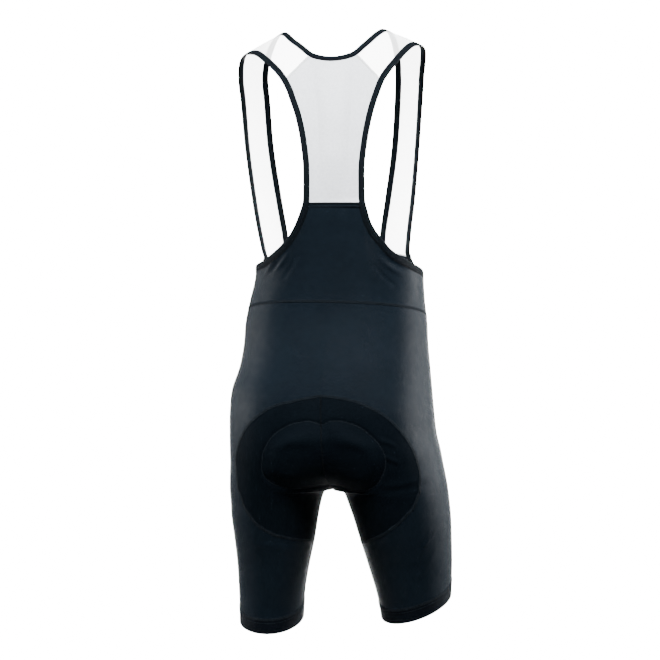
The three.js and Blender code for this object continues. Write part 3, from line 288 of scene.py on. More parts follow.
def body(side, row, angle):
    """Points of the body: side +1 left or -1 right, angle 0 outermost, positive towards the back."""
    side, row, angle = np.broadcast_arrays(*(np.asarray(v, float) for v in (side, row, angle)))
    s = smooth_run(SECTIONS, row)
    is_back = angle >= 0
    below = row >= CROTCH
    spread, out, inner, ahead = side_values(s, side > 0)
    lobe = np.where(is_back, s[..., BACK], s[..., FRONT])
    turn = np.minimum(np.abs(angle), math.pi)
    c, q = np.cos(turn), np.sin(turn)
    power = 2 / s[..., SQUARE]
    cut = pinch(s, row, is_back)
    above = np.where(cut > NO_CUT, spread / np.maximum(cut, NO_CUT), 0)
    reach = np.where(below, spread - np.maximum(0, inner), above)
    x = np.where(c >= 0, spread + (out - spread) * np.maximum(c, 0) ** power, spread + reach * c)
    y = np.where(c >= 0, lobe * np.maximum(q, 0) ** power, lobe * q)
    y = np.where(is_back, y, -y) - np.where(below, ahead, 0)
    yaw = np.radians(s[..., YAW])
    return np.stack([
        s[..., MID] + side * x * np.cos(yaw) + y * np.sin(yaw),
        -side * x * np.sin(yaw) + y * np.cos(yaw),
        s[..., Z],
    ], -1)


def across(place, row, is_back):
    """Points across the back or the front: place +1 left side, 0 middle, -1 right side."""
    place = np.asarray(place, float)
    angle = (1 - np.abs(place)) * end_angle(row, is_back)
    return body(np.where(place >= 0, 1, -1), row, angle if is_back else -angle)


PLACES_FINE = np.linspace(-1, 1, 8001)


def place_of(point, is_back):
    """(place, row) across the body nearest to a point at the same height."""
    row = float(row_at_height(point[2]))
    line = across(PLACES_FINE, row, is_back)
    miss = np.hypot(line[:, 0] - point[0], line[:, 1] - point[1])
    return float(PLACES_FINE[miss.argmin()]), row


def spot(x, z, is_back=True):
    """Point of the back or the front at a sideways place and a height."""
    row = float(row_at_height(z))
    line = across(PLACES_FINE, row, is_back)
    order = np.argsort(line[:, 0])
    place = np.interp(x, line[order, 0], PLACES_FINE[order])
    return across(place, row, is_back)


def cut_height(cut, p):
    return cut["z"] + cut["sideways"] * (p[..., 0] - cut["x"]) + cut["backwards"] * (p[..., 1] - cut["y"])


def share_at_x(side, row, x):
    """Share of the back half section at which it reaches a sideways place."""
    shares = np.linspace(0.02, 1, 1001)
    line = body(side, row, shares * end_angle(row, True))[:, 0] * side
    return float(np.interp(-side * x, -line, shares))


def insert_edge(side):
    """Edge of the seat insert: its top and foot rows, and the share of the half section outside it by row."""
    table = INSERT_LEFT if side > 0 else INSERT_RIGHT
    top = float(row_at_height(INSERT_TOP))
    foot = float(row_at_height(INSERT_FOOT_LEFT if side > 0 else INSERT_FOOT_RIGHT))
    points = [(top, float(body(side, top, end_angle(top, True))[0]))]
    points += [(float(row_at_height(z)), x) for x, z in table]
    points.append((foot, float(body(side, foot, math.pi)[0])))
    curve = smooth_run(np.array(points), np.linspace(0, len(points) - 1, EDGE_SAMPLES))
    rows = np.maximum.accumulate(curve[:, 0])
    shares = np.array([share_at_x(side, row, x) for row, x in zip(rows, curve[:, 1])])
    shares[0] = shares[-1] = 1

    def share_at(row):
        return np.where((row <= top) | (row >= foot), 1.0, np.interp(row, rows, shares))

    below = rows >= CROTCH_CORNER
    edge = body(side, rows[below], shares[below] * math.pi)
    length = lengths_along(edge)
    steps = np.interp(np.linspace(0, length[-1], THIGH_ROWS + 1)[1:], length, rows[below])
    return dict(top=top, foot=foot, share_at=share_at, thigh_rows=steps)


def back_share(past):
    """Share of the half back that lies between the side seam and a back column."""
    first = YOKE_EDGE_SHARE * past / YOKE_EDGE
    rest = YOKE_EDGE_SHARE + (1 - YOKE_EDGE_SHARE) * (past - YOKE_EDGE) / (BACK_COLUMNS - YOKE_EDGE)
    return np.where(past <= YOKE_EDGE, first, rest)


def front_seam_angle(row):
    """Angle of the seam between the front panel and the main panel."""
    share = np.clip((row - FRONT_SEAM_START) / FRONT_SEAM_ROWS, 0, 1)
    return np.radians(FRONT_SEAM_ANGLE + FRONT_SEAM_TURN * share)


def column_angle(edge, row, column):
    """Angle of a column of the shorts at a row, counted from the centre front round to the back."""
    seam = front_seam_angle(row)
    end = end_angle(row, False)
    front = -(end + (seam - end) * column / FRONT_COLUMNS)
    flank = -seam * (1 - (column - FRONT_COLUMNS) / SIDE_COLUMNS)
    back = edge["share_at"](row) * end_angle(row, True) * back_share(column - FRONT_COLUMNS - SIDE_COLUMNS)
    return np.select([column <= FRONT_COLUMNS, column <= FRONT_COLUMNS + SIDE_COLUMNS], [front, flank], back)


def row_on_cut(side, edge, column, cut, rise, guess):
    """Section numbers where a slanting cut crosses the columns."""
    row = np.full(len(column), float(guess))
    for _ in range(CUT_PASSES):
        p = body(side, row, column_angle(edge, row, column))
        row = row_at_height(cut_height(cut, p) + rise)
    return row


def make_half(side):
    """Rows and columns of one half of the shorts."""
    edge = insert_edge(side)
    hem = HEM_LEFT if side > 0 else HEM_RIGHT
    column = np.arange(FRONT_COLUMNS + SIDE_COLUMNS + BACK_COLUMNS + 1, dtype=float)
    waist = row_on_cut(side, edge, column, WAIST_SEAM, 0, WAIST_ROW)
    hem_top = row_on_cut(side, edge, column, hem, HEM_HEIGHT, HEM_TOP_ROW)
    hem_foot = row_on_cut(side, edge, column, hem, 0, HEM_FOOT_ROW)
    seat_steps = 1 - np.cos(np.linspace(0, math.pi / 2, SEAT_ROWS + 1)[1:])
    seat = edge["top"] + (CROTCH - edge["top"]) * seat_steps
    corner = np.linspace(CROTCH, CROTCH_CORNER, CORNER_ROWS + 1)[1:]
    seat = np.concatenate([[edge["top"]], seat, corner, edge["thigh_rows"]])
    seat[SEAT_ROWS] = CROTCH
    upper = np.linspace(0, 1, UPPER_ROWS + 1)[:-1, None]
    lower = np.linspace(0, 1, LOWER_ROWS + 1)[1:, None]
    rows = np.concatenate([
        waist * (1 - upper) + edge["top"] * upper,
        np.repeat(seat[:, None], len(column), 1),
        edge["foot"] * (1 - lower) + hem_top * lower,
    ])
    points = body(side, rows, column_angle(edge, rows, column[None, :]))
    return dict(side=side, edge=edge, column=column, waist=waist, hem_top=hem_top, hem_foot=hem_foot,
                seat=seat, points=points)


LEFT = make_half(1)
RIGHT = make_half(-1)


def panel_net(half, first, last):
    return half["points"][:, first:last + 1], half["side"] < 0


def insert_net(half):
    row = half["seat"][:, None]
    end = end_angle(row, True)
    start = half["edge"]["share_at"](row) * end
    f = np.linspace(0, 1, INSERT_COLUMNS + 1)[None, :]
    return body(half["side"], row, start * (1 - f) + end * f), half["side"] < 0


def hem_net(half):
    f = np.linspace(0, 1, HEM_ROWS + 1)[:, None]
    row = half["hem_top"] * (1 - f) + half["hem_foot"] * f
    return body(half["side"], row, column_angle(half["edge"], row, half["column"][None, :])), half["side"] < 0


# Edge curves of the bib


def unit(v):
    return v / np.maximum(np.linalg.norm(v, axis=-1, keepdims=True), 1e-12)


def loop_points(controls, u):
    """Points of a closed centripetal curve through the controls, at u counted in controls."""
    controls = np.asarray(controls, float)
    count = len(controls)
    low = np.floor(u).astype(int)
    f = (u - low)[:, None]
    p0, p1, p2, p3 = (controls[(low + k) % count] for k in (-1, 0, 1, 2))
    d0, d1, d2 = (np.sqrt(np.linalg.norm(b - a, axis=1))[:, None] for a, b in ((p0, p1), (p1, p2), (p2, p3)))
    start = ((p1 - p0) / d0 - (p2 - p0) / (d0 + d1) + (p2 - p1) / d1) * d1
    end = ((p2 - p1) / d1 - (p3 - p1) / (d1 + d2) + (p3 - p2) / d2) * d1
    return hermite(p1, p2, start, end, f)


def even_run(points, count):
    """Points at even spacing along a fine line."""
    length = lengths_along(points)
    want = np.linspace(0, length[-1], count + 1)
    return np.stack([np.interp(want, length, points[:, k]) for k in range(3)], -1)


def cut_loop(stretches):
    """Cuts a closed run of named stretches into evenly spaced points."""
    controls = [p for _, points, _ in stretches for p in points]
    pieces = {}
    start = 0
    for name, points, count in stretches:
        u = np.linspace(start, start + len(points), LOOP_SAMPLES)
        pieces[name] = even_run(loop_points(controls, u), count)
        start += len(points)
    return pieces


def armhole_loop(outer, front, yoke, bib):
    return cut_loop([
        ("strap", outer[:0:-1], STRAP_ROWS),
        ("bib", [outer[0], *bib[::-1]], BIB_ROWS),
        ("yoke", yoke[:0:-1], YOKE_EDGE),
        ("front", [yoke[0], *front[::-1]], FRONT_EDGE),
    ])


ARM_LEFT = armhole_loop(STRAP_OUTER_LEFT, ARMHOLE_FRONT_LEFT, ARMHOLE_YOKE_LEFT, ARMHOLE_BIB_LEFT)
ARM_RIGHT = armhole_loop(STRAP_OUTER_RIGHT, ARMHOLE_FRONT_RIGHT, ARMHOLE_YOKE_RIGHT, ARMHOLE_BIB_RIGHT)
NECK = cut_loop([
    ("left", STRAP_INNER_LEFT[:-1], STRAP_ROWS),
    ("front", [STRAP_INNER_LEFT[-1], *NECKLINE_FRONT], 2 * BIB_HALF),
    ("right", STRAP_INNER_RIGHT[:0:-1], STRAP_ROWS),
    ("back", [STRAP_INNER_RIGHT[0], *NECKLINE_BACK[::-1]], NECKLINE),
])


def tangents(points):
    index = np.arange(len(points))
    return unit(points[np.minimum(index + 1, len(points) - 1)] - points[np.maximum(index - 1, 0)])


def edge_of(points, towards, half):
    """Moves a run of binding points across the binding's half width to the edge of the cloth."""
    along = tangents(points)
    inward = np.broadcast_to(np.asarray(towards, float), points.shape)
    inward = unit(inward - (inward * along).sum(1, keepdims=True) * along)
    return points + inward * np.broadcast_to(np.asarray(half, float), (len(points),))[:, None]


def width_run(first):
    """Width of a binding down a strap, from the back to the front."""
    f = np.clip(np.arange(STRAP_ROWS + 1) / STRAP_ROWS * BINDING_TAPER, 0, 1)
    return first + (BINDING_FRONT - first) * f


def strap_edges(arm, neck):
    outer = arm["strap"][::-1]
    return dict(outer=edge_of(outer, neck - outer, width_run(BINDING_BACK) / 2),
                inner=edge_of(neck, outer - neck, width_run(BINDING_NECK) / 2))


STRAP_LEFT = strap_edges(ARM_LEFT, NECK["left"])
STRAP_RIGHT = strap_edges(ARM_RIGHT, NECK["right"][::-1])


def on_body(points, is_back):
    return [place_of(p, is_back) for p in points]


def between(a, b, count):
    return [(a[0] + (b[0] - a[0]) * k / count, a[1] + (b[1] - a[1]) * k / count) for k in range(count + 1)]


def yoke_top():
    """Top edge of the back yoke as (place, row), from the left side seam to the right side seam."""
    sides = []
    for side, arm in ((1, ARM_LEFT), (-1, ARM_RIGHT)):
        edge = edge_of(arm["yoke"][::-1], (-side * 0.7, 0, -0.7), BINDING_BACK / 2)
        places = on_body(edge, True)
        places[0] = (float(side), float(row_at_height(edge[0][2])))
        sides.append(places)
    left, right = sides
    return [*left[:-1], *between(left[-1], right[-1], 2 * BIB_HALF)[:-1], *right[::-1]]


YOKE_TOP = yoke_top()


def front_top():
    """Top edge of the front yoke as (place, row), from the left side seam to the right side seam."""
    front_half = (BINDING_BACK + (BINDING_FRONT - BINDING_BACK) * np.linspace(0, 1, FRONT_EDGE + 1)) / 2
    sides = []
    parts = ((1, ARM_LEFT, STRAP_LEFT, YOKE_TOP[0]), (-1, ARM_RIGHT, STRAP_RIGHT, YOKE_TOP[-1]))
    for side, arm, strap, end in parts:
        places = on_body(edge_of(arm["front"], (-side * 0.3, 0, -1), front_half), False)
        places[0] = (float(side), end[1])
        places[-1] = place_of(strap["outer"][-1], False)
        sides.append(places)
    left, right = sides
    neckline = on_body(edge_of(NECK["front"], (0, 0, -1), BINDING_NECK / 2), False)
    neckline[0] = place_of(STRAP_LEFT["inner"][-1], False)
    neckline[-1] = place_of(STRAP_RIGHT["inner"][-1], False)
    seam_left = between(left[-1], neckline[0], DIAGONAL)
    seam_right = between(neckline[-1], right[-1], DIAGONAL)
    return [*left[:-1], *seam_left[:-1], *neckline[:-1], *seam_right[:-1], *right[::-1]]


FRONT_TOP = front_top()


def points_of(places, is_back):
    places = np.array(places)
    return across(places[:, 0], places[:, 1], is_back)


def band_net(top, bottom, count, is_back):
    """Net between a top edge and a bottom edge, both given as (place, row)."""
    f = np.linspace(0, 1, count + 1)[:, None, None]
    places = np.array(top)[None] * (1 - f) + np.array(bottom)[None] * f
    return across(places[..., 0], places[..., 1], is_back), False


def waist_back():
    first = FRONT_COLUMNS + SIDE_COLUMNS
    past = np.arange(BACK_COLUMNS + 1)
    share = back_share(past)
    left = [(1 - s, LEFT["waist"][first + k]) for k, s in zip(past, share)]
    right = [(s - 1, RIGHT["waist"][first + k]) for k, s in zip(past, share)]
    return [*left, *right[-2::-1]]


def waist_front():
    count = FRONT_COLUMNS + SIDE_COLUMNS
    sides = []
    for half in (LEFT, RIGHT):
        column = np.arange(count + 1, dtype=float)
        row = half["waist"][:count + 1]
        share = -column_angle(half["edge"], row, column) / end_angle(row, False)
        sides.append([(half["side"] * (1 - s), r) for s, r in zip(share, row)])
    left, right = sides
    return [*left[::-1], *right[1:]]


def coons(bottom, top, left, right):
    """Net filled in from its four edges, with its u and v."""
    v = np.linspace(0, 1, len(left))[:, None, None]
    u = np.linspace(0, 1, len(bottom))[None, :, None]
    net = bottom[None] * (1 - v) + top[None] * v + left[:, None] * (1 - u) + right[:, None] * u
    net = net - bottom[0] * (1 - u) * (1 - v) - bottom[-1] * u * (1 - v)
    return net - top[0] * (1 - u) * v - top[-1] * u * v, u, v


def straight_run(a, b, count):
    f = np.linspace(0, 1, count + 1)[:, None]
    return a * (1 - f) + b * f


def bib_net():
    seam = points_of(YOKE_TOP[YOKE_EDGE:YOKE_EDGE + 2 * BIB_HALF + 1], True)
    left = edge_of(ARM_LEFT["bib"][::-1], (-1, 0, 0), BINDING_BACK / 2)
    right = edge_of(ARM_RIGHT["bib"][::-1], (1, 0, 0), BINDING_BACK / 2)
    neckline = edge_of(NECK["back"], (0, 0.5, -1), BINDING_NECK / 2)[::-1]
    left[0], right[0] = seam[0], seam[-1]
    left[-1], right[-1] = STRAP_LEFT["outer"][0], STRAP_RIGHT["outer"][0]
    neckline[0], neckline[-1] = STRAP_LEFT["inner"][0], STRAP_RIGHT["inner"][0]
    top = np.concatenate([
        straight_run(STRAP_LEFT["outer"][0], neckline[0], DIAGONAL)[:-1],
        neckline[:-1],
        straight_run(neckline[-1], STRAP_RIGHT["outer"][0], DIAGONAL),
    ])
    net, u, v = coons(seam, top, left, right)
    crown = BIB_CROWN * np.sin(math.pi * v) * 4 * u * (1 - u)
    return net + crown * np.array([0, 1, 0]), False


def strap_net(edges, side):
    start = straight_run(edges["outer"][0], edges["inner"][0], DIAGONAL)
    first = FRONT_EDGE if side > 0 else len(FRONT_TOP) - 1 - FRONT_EDGE
    seam = points_of([FRONT_TOP[first + side * k] for k in range(DIAGONAL + 1)], False)
    outer, inner = edges["outer"].copy(), edges["inner"].copy()
    outer[-1], inner[-1] = seam[0], seam[-1]
    net, u, v = coons(start, seam, outer, inner)
    lift = unit(np.cross(inner - outer, tangents(outer))) * side
    crown = STRAP_CROWN * np.sin(math.pi * v) * 4 * u * (1 - u)
    return net + crown * lift[:, None], False


# Skins and their shared directions


def keys_of(points):
    return [tuple(k) for k in np.round(points * 500).astype(int)]


def quad_normals(points, faces):
    """Direction of each quad, as long as twice its area."""
    return np.cross(points[faces[:, 2]] - points[faces[:, 0]], points[faces[:, 3]] - points[faces[:, 1]])


def point_sums(s):
    """Sum of the quad directions round each point of a skin."""
    sums = np.zeros_like(s["points"])
    for k in range(4):
        np.add.at(sums, s["faces"][:, k], s["face_normals"])
    return sums


def skin(nets, inside_z=None):
    """Joins nets into one skin of shared points and quads. UV runs in millimetres along the cloth."""
    index = {}
    points, faces, uvs = [], [], []
    for net, flip in nets:
        rows, columns = net.shape[:2]
        flat = net.reshape(-1, 3)
        ids = np.empty(len(flat), int)
        for i, key in enumerate(keys_of(flat)):
            if key not in index:
                index[key] = len(points)
                points.append(flat[i])
            ids[i] = index[key]
        down_mm = lengths_along(net.swapaxes(0, 1)).T
        uv = np.stack([lengths_along(net), down_mm], -1).reshape(-1, 2)
        corner = np.arange(rows * columns).reshape(rows, columns)
        corners = (corner[:-1, :-1], corner[1:, :-1], corner[1:, 1:], corner[:-1, 1:])
        quads = np.stack(corners, -1).reshape(-1, 4)
        if flip:
            quads = quads[:, ::-1]
        faces.append(ids[quads])
        uvs.append(uv[quads])
    points = np.array(points)
    faces, uvs = np.concatenate(faces), np.concatenate(uvs)
    normals = quad_normals(points, faces)
    if inside_z is not None:
        outward = points[faces].mean(1) - np.array([0, 0, inside_z])
        if (normals * outward).sum() < 0:
            faces, uvs, normals = faces[:, ::-1], uvs[:, ::-1], -normals
    keep = np.linalg.norm(normals, axis=1) > 1e-6
    return dict(points=points, faces=faces[keep], uvs=uvs[keep], face_normals=normals[keep])


SKINS = {
    "bib_back": skin([bib_net()], -150),
    "strap_left": skin([strap_net(STRAP_LEFT, 1)], -180),
    "strap_right": skin([strap_net(STRAP_RIGHT, -1)], -180),
    "back_yoke": skin([band_net(YOKE_TOP, waist_back(), YOKE_ROWS, True)], -360),
    "front_yoke": skin([band_net(FRONT_TOP, waist_front(), FRONT_YOKE_ROWS, False)], -400),
    "shorts_main": skin([panel_net(h, FRONT_COLUMNS, len(h["column"]) - 1) for h in (LEFT, RIGHT)]),
    "shorts_front_left": skin([panel_net(LEFT, 0, FRONT_COLUMNS)]),
    "shorts_front_right": skin([panel_net(RIGHT, 0, FRONT_COLUMNS)]),
    "seat_insert_left": skin([insert_net(LEFT)]),
    "seat_insert_right": skin([insert_net(RIGHT)]),
    "hem_left": skin([hem_net(LEFT)]),
    "hem_right": skin([hem_net(RIGHT)]),
}


def share_normals():
    """Directions out of the cloth, shared by all panels that meet at a point."""
    sums = {}
    for s in SKINS.values():
        s["keys"] = keys_of(s["points"])
        for key, n in zip(s["keys"], point_sums(s)):
            sums[key] = sums.get(key, 0) + n
    for s in SKINS.values():
        s["normals"] = unit(np.array([sums[key] for key in s["keys"]]))
    return {key: unit(n) for key, n in sums.items()}


NORMALS = share_normals()


def normals_at(points):
    return np.array([NORMALS[key] for key in keys_of(points)])


# Relief: creases, and the pad that shows through the seat insert

# Creases as (half width, height, on the back, points (x, z)), a ridge where the height is above 0
CREASES = [
    (9, 2.2, True, [(99, -647), (76, -635), (53, -633), (25, -634)]),
    (9, 2.2, True, [(1, -634), (-17, -633), (-43, -637), (-65, -648)]),
    (3.5, 1.5, True, [(72, -342), (80, -356), (91, -370)]),
    (3, -1.2, True, [(84, -350), (91, -362), (99, -375)]),
    (3.5, 1.5, True, [(94, -352), (101, -364), (110, -380)]),
    (4, -1.0, True, [(58, -346), (68, -366), (82, -386)]),
    (4, 1.2, True, [(-64, -346), (-84, -364), (-108, -378)]),
    (3.5, -1.2, True, [(-72, -342), (-92, -358), (-114, -370)]),
    (3.5, -1.0, True, [(-58, -356), (-76, -378), (-98, -396)]),
    (4, 0.8, True, [(68, -494), (61, -502), (54, -509)]),
    (5, 0.9, True, [(-46, -456), (-62, -484), (-80, -514)]),
    (4, -0.7, True, [(-40, -462), (-56, -492), (-72, -520)]),
    (3.5, 1.7, True, [(-68, -629), (-80, -634), (-96, -641)]),
    (3.5, 1.7, True, [(-76, -655), (-86, -660), (-99, -666)]),
    (6, 0.8, True, [(-70, -703), (-110, -697), (-158, -684)]),
    (5, -0.6, True, [(-74, -712), (-112, -707), (-150, -700)]),
    (3.5, 1.0, True, [(-118, -830), (-140, -800), (-150, -770)]),
    (3.5, 1.0, True, [(-128, -852), (-148, -826), (-160, -795)]),
    (3, 0.9, True, [(-132, -808), (-150, -786), (-164, -768)]),
    (3, 0.8, True, [(-140, -868), (-158, -848), (-170, -830)]),
    (5, 0.9, True, [(60, -815), (90, -802), (128, -800)]),
    (5, 1.2, False, [(-8, -690), (-30, -668), (-62, -640)]),
    (5, 1.2, False, [(10, -690), (34, -664), (66, -638)]),
    (5, -0.9, False, [(-12, -698), (-40, -682), (-76, -668)]),
    (5, -0.9, False, [(14, -698), (42, -680), (80, -664)]),
    (6, 1.0, False, [(-70, -455), (-30, -462), (14, -458)]),
    (6, 0.9, False, [(30, -476), (64, -468), (100, -474)]),
    (5, 0.8, False, [(60, -800), (90, -792), (124, -802)]),
    (5, 0.8, False, [(-150, -780), (-120, -770), (-92, -778)]),
]

# How far out a crease is felt, how soon it fades at its ends, and the troughs beside it
CREASE_REACH = 4
CREASE_FADE = 0.7
TROUGH_SHARE = 0.35
TROUGH_WIDTH = 2.1

# Outline of the pad seen through the seat insert, as (x, z) round from the top dip
PAD_OUTLINE = [
    (19, -608), (32, -604), (44, -603), (70, -609), (94, -625), (108, -647), (112, -666), (111, -684),
    (100, -698), (80, -706), (52, -709), (20, -706), (-6, -706), (-30, -712), (-50, -710), (-66, -700),
    (-76, -682), (-79, -664), (-74, -646), (-60, -628), (-38, -611), (-14, -603), (2, -602), (10, -604),
]
PAD_BULGE = 6.0
PAD_SLOPE = 26.0
PAD_GROOVE = 1.1
PAD_GROOVE_HALF = 2.6
PAD_MARGIN = 12


def smooth_line(points, count):
    points = np.asarray(points, float)
    return smooth_run(points, np.linspace(0, len(points) - 1, count))


def distance_along(points, line):
    """Distance from each point to a line of points, and how far along the line it is met, from 0 to 1."""
    best = np.full(len(points), 1e9)
    where = np.zeros(len(points))
    steps = len(line) - 1
    for k in range(steps):
        a, span = line[k], line[k + 1] - line[k]
        f = np.clip(((points - a) @ span) / (span @ span), 0, 1)
        gap = np.linalg.norm(points - a - f[:, None] * span, axis=1)
        closer = gap < best
        best[closer] = gap[closer]
        where[closer] = (k + f[closer]) / steps
    return best, where


def crease_relief(points, half, height, line):
    low, high = line.min(0) - CREASE_REACH * half, line.max(0) + CREASE_REACH * half
    near = ((points > low) & (points < high)).all(1)
    relief = np.zeros(len(points))
    if near.any():
        gap, where = distance_along(points[near], line)
        taper = np.sin(math.pi * np.clip(where, 0, 1)) ** CREASE_FADE
        trough = TROUGH_SHARE * np.exp(-((gap / (TROUGH_WIDTH * half)) ** 2))
        ridge = np.exp(-((gap / half) ** 2)) - trough
        relief[near] = height * taper * ridge
    return relief


CREASE_LINES = [
    (half, height, np.array([spot(x, z, is_back) for x, z in smooth_line(points, CREASE_POINTS)]))
    for half, height, is_back, points in CREASES
]


def closed_line(points, count):
    points = np.asarray(points, float)
    wrapped = np.concatenate([points[-2:], points, points[:3]])
    return smooth_run(wrapped, np.linspace(2, len(points) + 2, count))


PAD_LINE = closed_line(PAD_OUTLINE, PAD_LINE_POINTS)


def inside_outline(points, line):
    """Whether (x, z) points lie inside a closed line."""
    inside = np.zeros(len(points), bool)
    for a, b in zip(line[:-1], line[1:]):
        crosses = (a[1] > points[:, 1]) != (b[1] > points[:, 1])
        x = a[0] + (points[:, 1] - a[1]) * (b[0] - a[0]) / (b[1] - a[1] if b[1] != a[1] else 1e-9)
        inside ^= crosses & (points[:, 0] < x)
    return inside


def eased(gap, width):
    """Smooth rise from 0 at no distance to 1 at the width."""
    rise = np.clip(gap / width, 0, 1)
    return rise * rise * (3 - 2 * rise)


def pad_relief(points):
    """The pad pushes the insert out inside its outline, with a sewn groove along it."""
    relief = np.zeros(len(points))
    low, high = PAD_LINE.min(0) - PAD_MARGIN, PAD_LINE.max(0) + PAD_MARGIN
    flat = points[:, [0, 2]]
    near = ((flat > low) & (flat < high)).all(1) & (points[:, 1] > 0)
    if near.any():
        gap, _ = distance_along(flat[near], PAD_LINE)
        inside = inside_outline(flat[near], PAD_LINE)
        bulge = PAD_BULGE * np.where(inside, eased(gap, PAD_SLOPE), 0)
        relief[near] = bulge - PAD_GROOVE * np.exp(-((gap / PAD_GROOVE_HALF) ** 2))
    return relief


def relief_at(points):
    total = pad_relief(points)
    for half, height, line in CREASE_LINES:
        total += crease_relief(points, half, height, line)
    return total


# Materials

# Scale at which the wave texture makes one wave for each unit of its coordinates
WAVE_SCALE = math.pi / 10
MESH_HOLES = (1.7, 2.1)


def new_material(name):
    material = bpy.data.materials.new(name)
    material.use_nodes = True
    nodes = material.node_tree.nodes
    nodes.clear()
    shader = nodes.new("ShaderNodeBsdfPrincipled")
    output = nodes.new("ShaderNodeOutputMaterial")
    material.node_tree.links.new(shader.outputs["BSDF"], output.inputs["Surface"])
    return material, shader


def add_node(material, kind, **values):
    """A node with its settings and unlinked inputs given by name."""
    node = material.node_tree.nodes.new(kind)
    for name, value in values.items():
        if hasattr(node, name):
            setattr(node, name, value)
        else:
            node.inputs[name.replace("_", " ")].default_value = value
    return node


def link(material, source, target):
    material.node_tree.links.new(source, target)


def cloth_coordinates(material, scale):
    """Coordinates along the cloth, in steps of the scale's millimetres."""
    source = add_node(material, "ShaderNodeUVMap", uv_map="cloth")
    mapping = add_node(material, "ShaderNodeMapping")
    mapping.inputs["Scale"].default_value = (1000 / scale[0], 1000 / scale[1], 1)
    link(material, source.outputs["UV"], mapping.inputs["Vector"])
    return mapping.outputs["Vector"]


def ramp(material, source, stops):
    """Colours or greys by a value between 0 and 1."""
    node = add_node(material, "ShaderNodeValToRGB")
    elements = node.color_ramp.elements
    while len(elements) < len(stops):
        elements.new(0.5)
    for element, (place, colour) in zip(elements, stops):
        element.position = place
        element.color = (*colour, 1) if len(colour) == 3 else colour
    link(material, source, node.inputs["Fac"])
    return node.outputs["Color"]


def grey(value):
    return (value, value, value)


def add_bump(material, shader, heights, strength, distance):
    """Bumps added one on another from (height, share) sources."""
    previous = None
    for height, share in heights:
        bump = add_node(material, "ShaderNodeBump")
        bump.inputs["Strength"].default_value = strength * share
        bump.inputs["Distance"].default_value = distance
        link(material, height, bump.inputs["Height"])
        if previous:
            link(material, previous, bump.inputs["Normal"])
        previous = bump.outputs["Normal"]
    link(material, previous, shader.inputs["Normal"])


def wave(material, direction, pitch):
    """Even ribs across one direction of the cloth, a pitch in millimetres apart."""
    node = add_node(material, "ShaderNodeTexWave", wave_type="BANDS", bands_direction=direction,
                    Scale=WAVE_SCALE)
    link(material, cloth_coordinates(material, (pitch, pitch)), node.inputs["Vector"])
    return node.outputs["Fac"]


def noise(material, **values):
    """Uneven value that stays with the object."""
    node = add_node(material, "ShaderNodeTexNoise", **values)
    place = add_node(material, "ShaderNodeTexCoord")
    link(material, place.outputs["Object"], node.inputs["Vector"])
    return node.outputs["Fac"]


def blend(material, share, first, second):
    node = add_node(material, "ShaderNodeMix", data_type="FLOAT")
    node.inputs[0].default_value = share
    link(material, first, node.inputs[2])
    link(material, second, node.inputs[3])
    return node.outputs[0]


def set_inputs(node, **values):
    for name, value in values.items():
        node.inputs[name.replace("_", " ")].default_value = value


def knit_material(name, dark, light, pitch, roughness, sheen, sheen_tint, specular):
    """Stretch knit: fine upright wales crossed by courses, uneven tone, and a soft sheen."""
    material, shader = new_material(name)
    wales = wave(material, "X", pitch)
    courses = wave(material, "Y", pitch * 0.72)
    mottle = noise(material, Scale=90.0, Detail=5.0, Roughness=0.6)
    broad = noise(material, Scale=9.0, Detail=2.0)
    tone = blend(material, 0.35, broad, mottle)
    link(material, ramp(material, tone, [(0.3, dark), (0.7, light)]), shader.inputs["Base Color"])
    uneven = [(0.3, grey(roughness - 0.06)), (0.7, grey(roughness + 0.06))]
    link(material, ramp(material, mottle, uneven), shader.inputs["Roughness"])
    set_inputs(shader, Sheen_Weight=sheen, Sheen_Roughness=0.45, Sheen_Tint=(*sheen_tint, 1),
               Specular_IOR_Level=specular)
    add_bump(material, shader, [(wales, 1.0), (courses, 0.6), (mottle, 0.5)], 0.35, 0.0002)
    return material


def mesh_material(name, hole, dark, light, cover):
    """White knitted mesh: small round holes between upright ribs of yarn, which cover a share of it."""
    material, shader = new_material(name)
    holes = add_node(material, "ShaderNodeTexVoronoi", feature="F1", distance="EUCLIDEAN", Scale=1.0,
                     Randomness=0.12)
    link(material, cloth_coordinates(material, MESH_HOLES), holes.inputs["Vector"])
    pores = ramp(material, holes.outputs["Distance"], [(0.12, grey(0.0)), (0.3, grey(1.0))])
    ribs = wave(material, "X", MESH_HOLES[0])
    fluff = noise(material, Scale=260.0, Detail=4.0)
    colour = add_node(material, "ShaderNodeMix", data_type="RGBA")
    link(material, pores, colour.inputs[0])
    colour.inputs[6].default_value = (*hole, 1)
    link(material, ramp(material, fluff, [(0.3, dark), (0.7, light)]), colour.inputs[7])
    link(material, colour.outputs[2], shader.inputs["Base Color"])
    set_inputs(shader, Roughness=0.72, Sheen_Weight=0.05, Specular_IOR_Level=0.3, Alpha=cover)
    add_bump(material, shader, [(pores, 1.0), (ribs, 0.5), (fluff, 0.4)], 0.5, 0.0003)
    return material


def ribbed_material(name, dark, light, pitch):
    """Folded elastic: fine ribs along its length and a crosswise knit."""
    material, shader = new_material(name)
    ribs = wave(material, "Y", pitch)
    knit = wave(material, "X", pitch * 0.8)
    fuzz = noise(material, Scale=320.0, Detail=4.0)
    tone = blend(material, 0.5, ribs, fuzz)
    link(material, ramp(material, tone, [(0.25, dark), (0.75, light)]), shader.inputs["Base Color"])
    set_inputs(shader, Roughness=0.66, Sheen_Weight=0.002, Sheen_Tint=(0.5, 0.7, 0.85, 1),
               Specular_IOR_Level=0.02)
    add_bump(material, shader, [(ribs, 1.0), (knit, 0.5), (fuzz, 0.4)], 0.6, 0.00035)
    return material


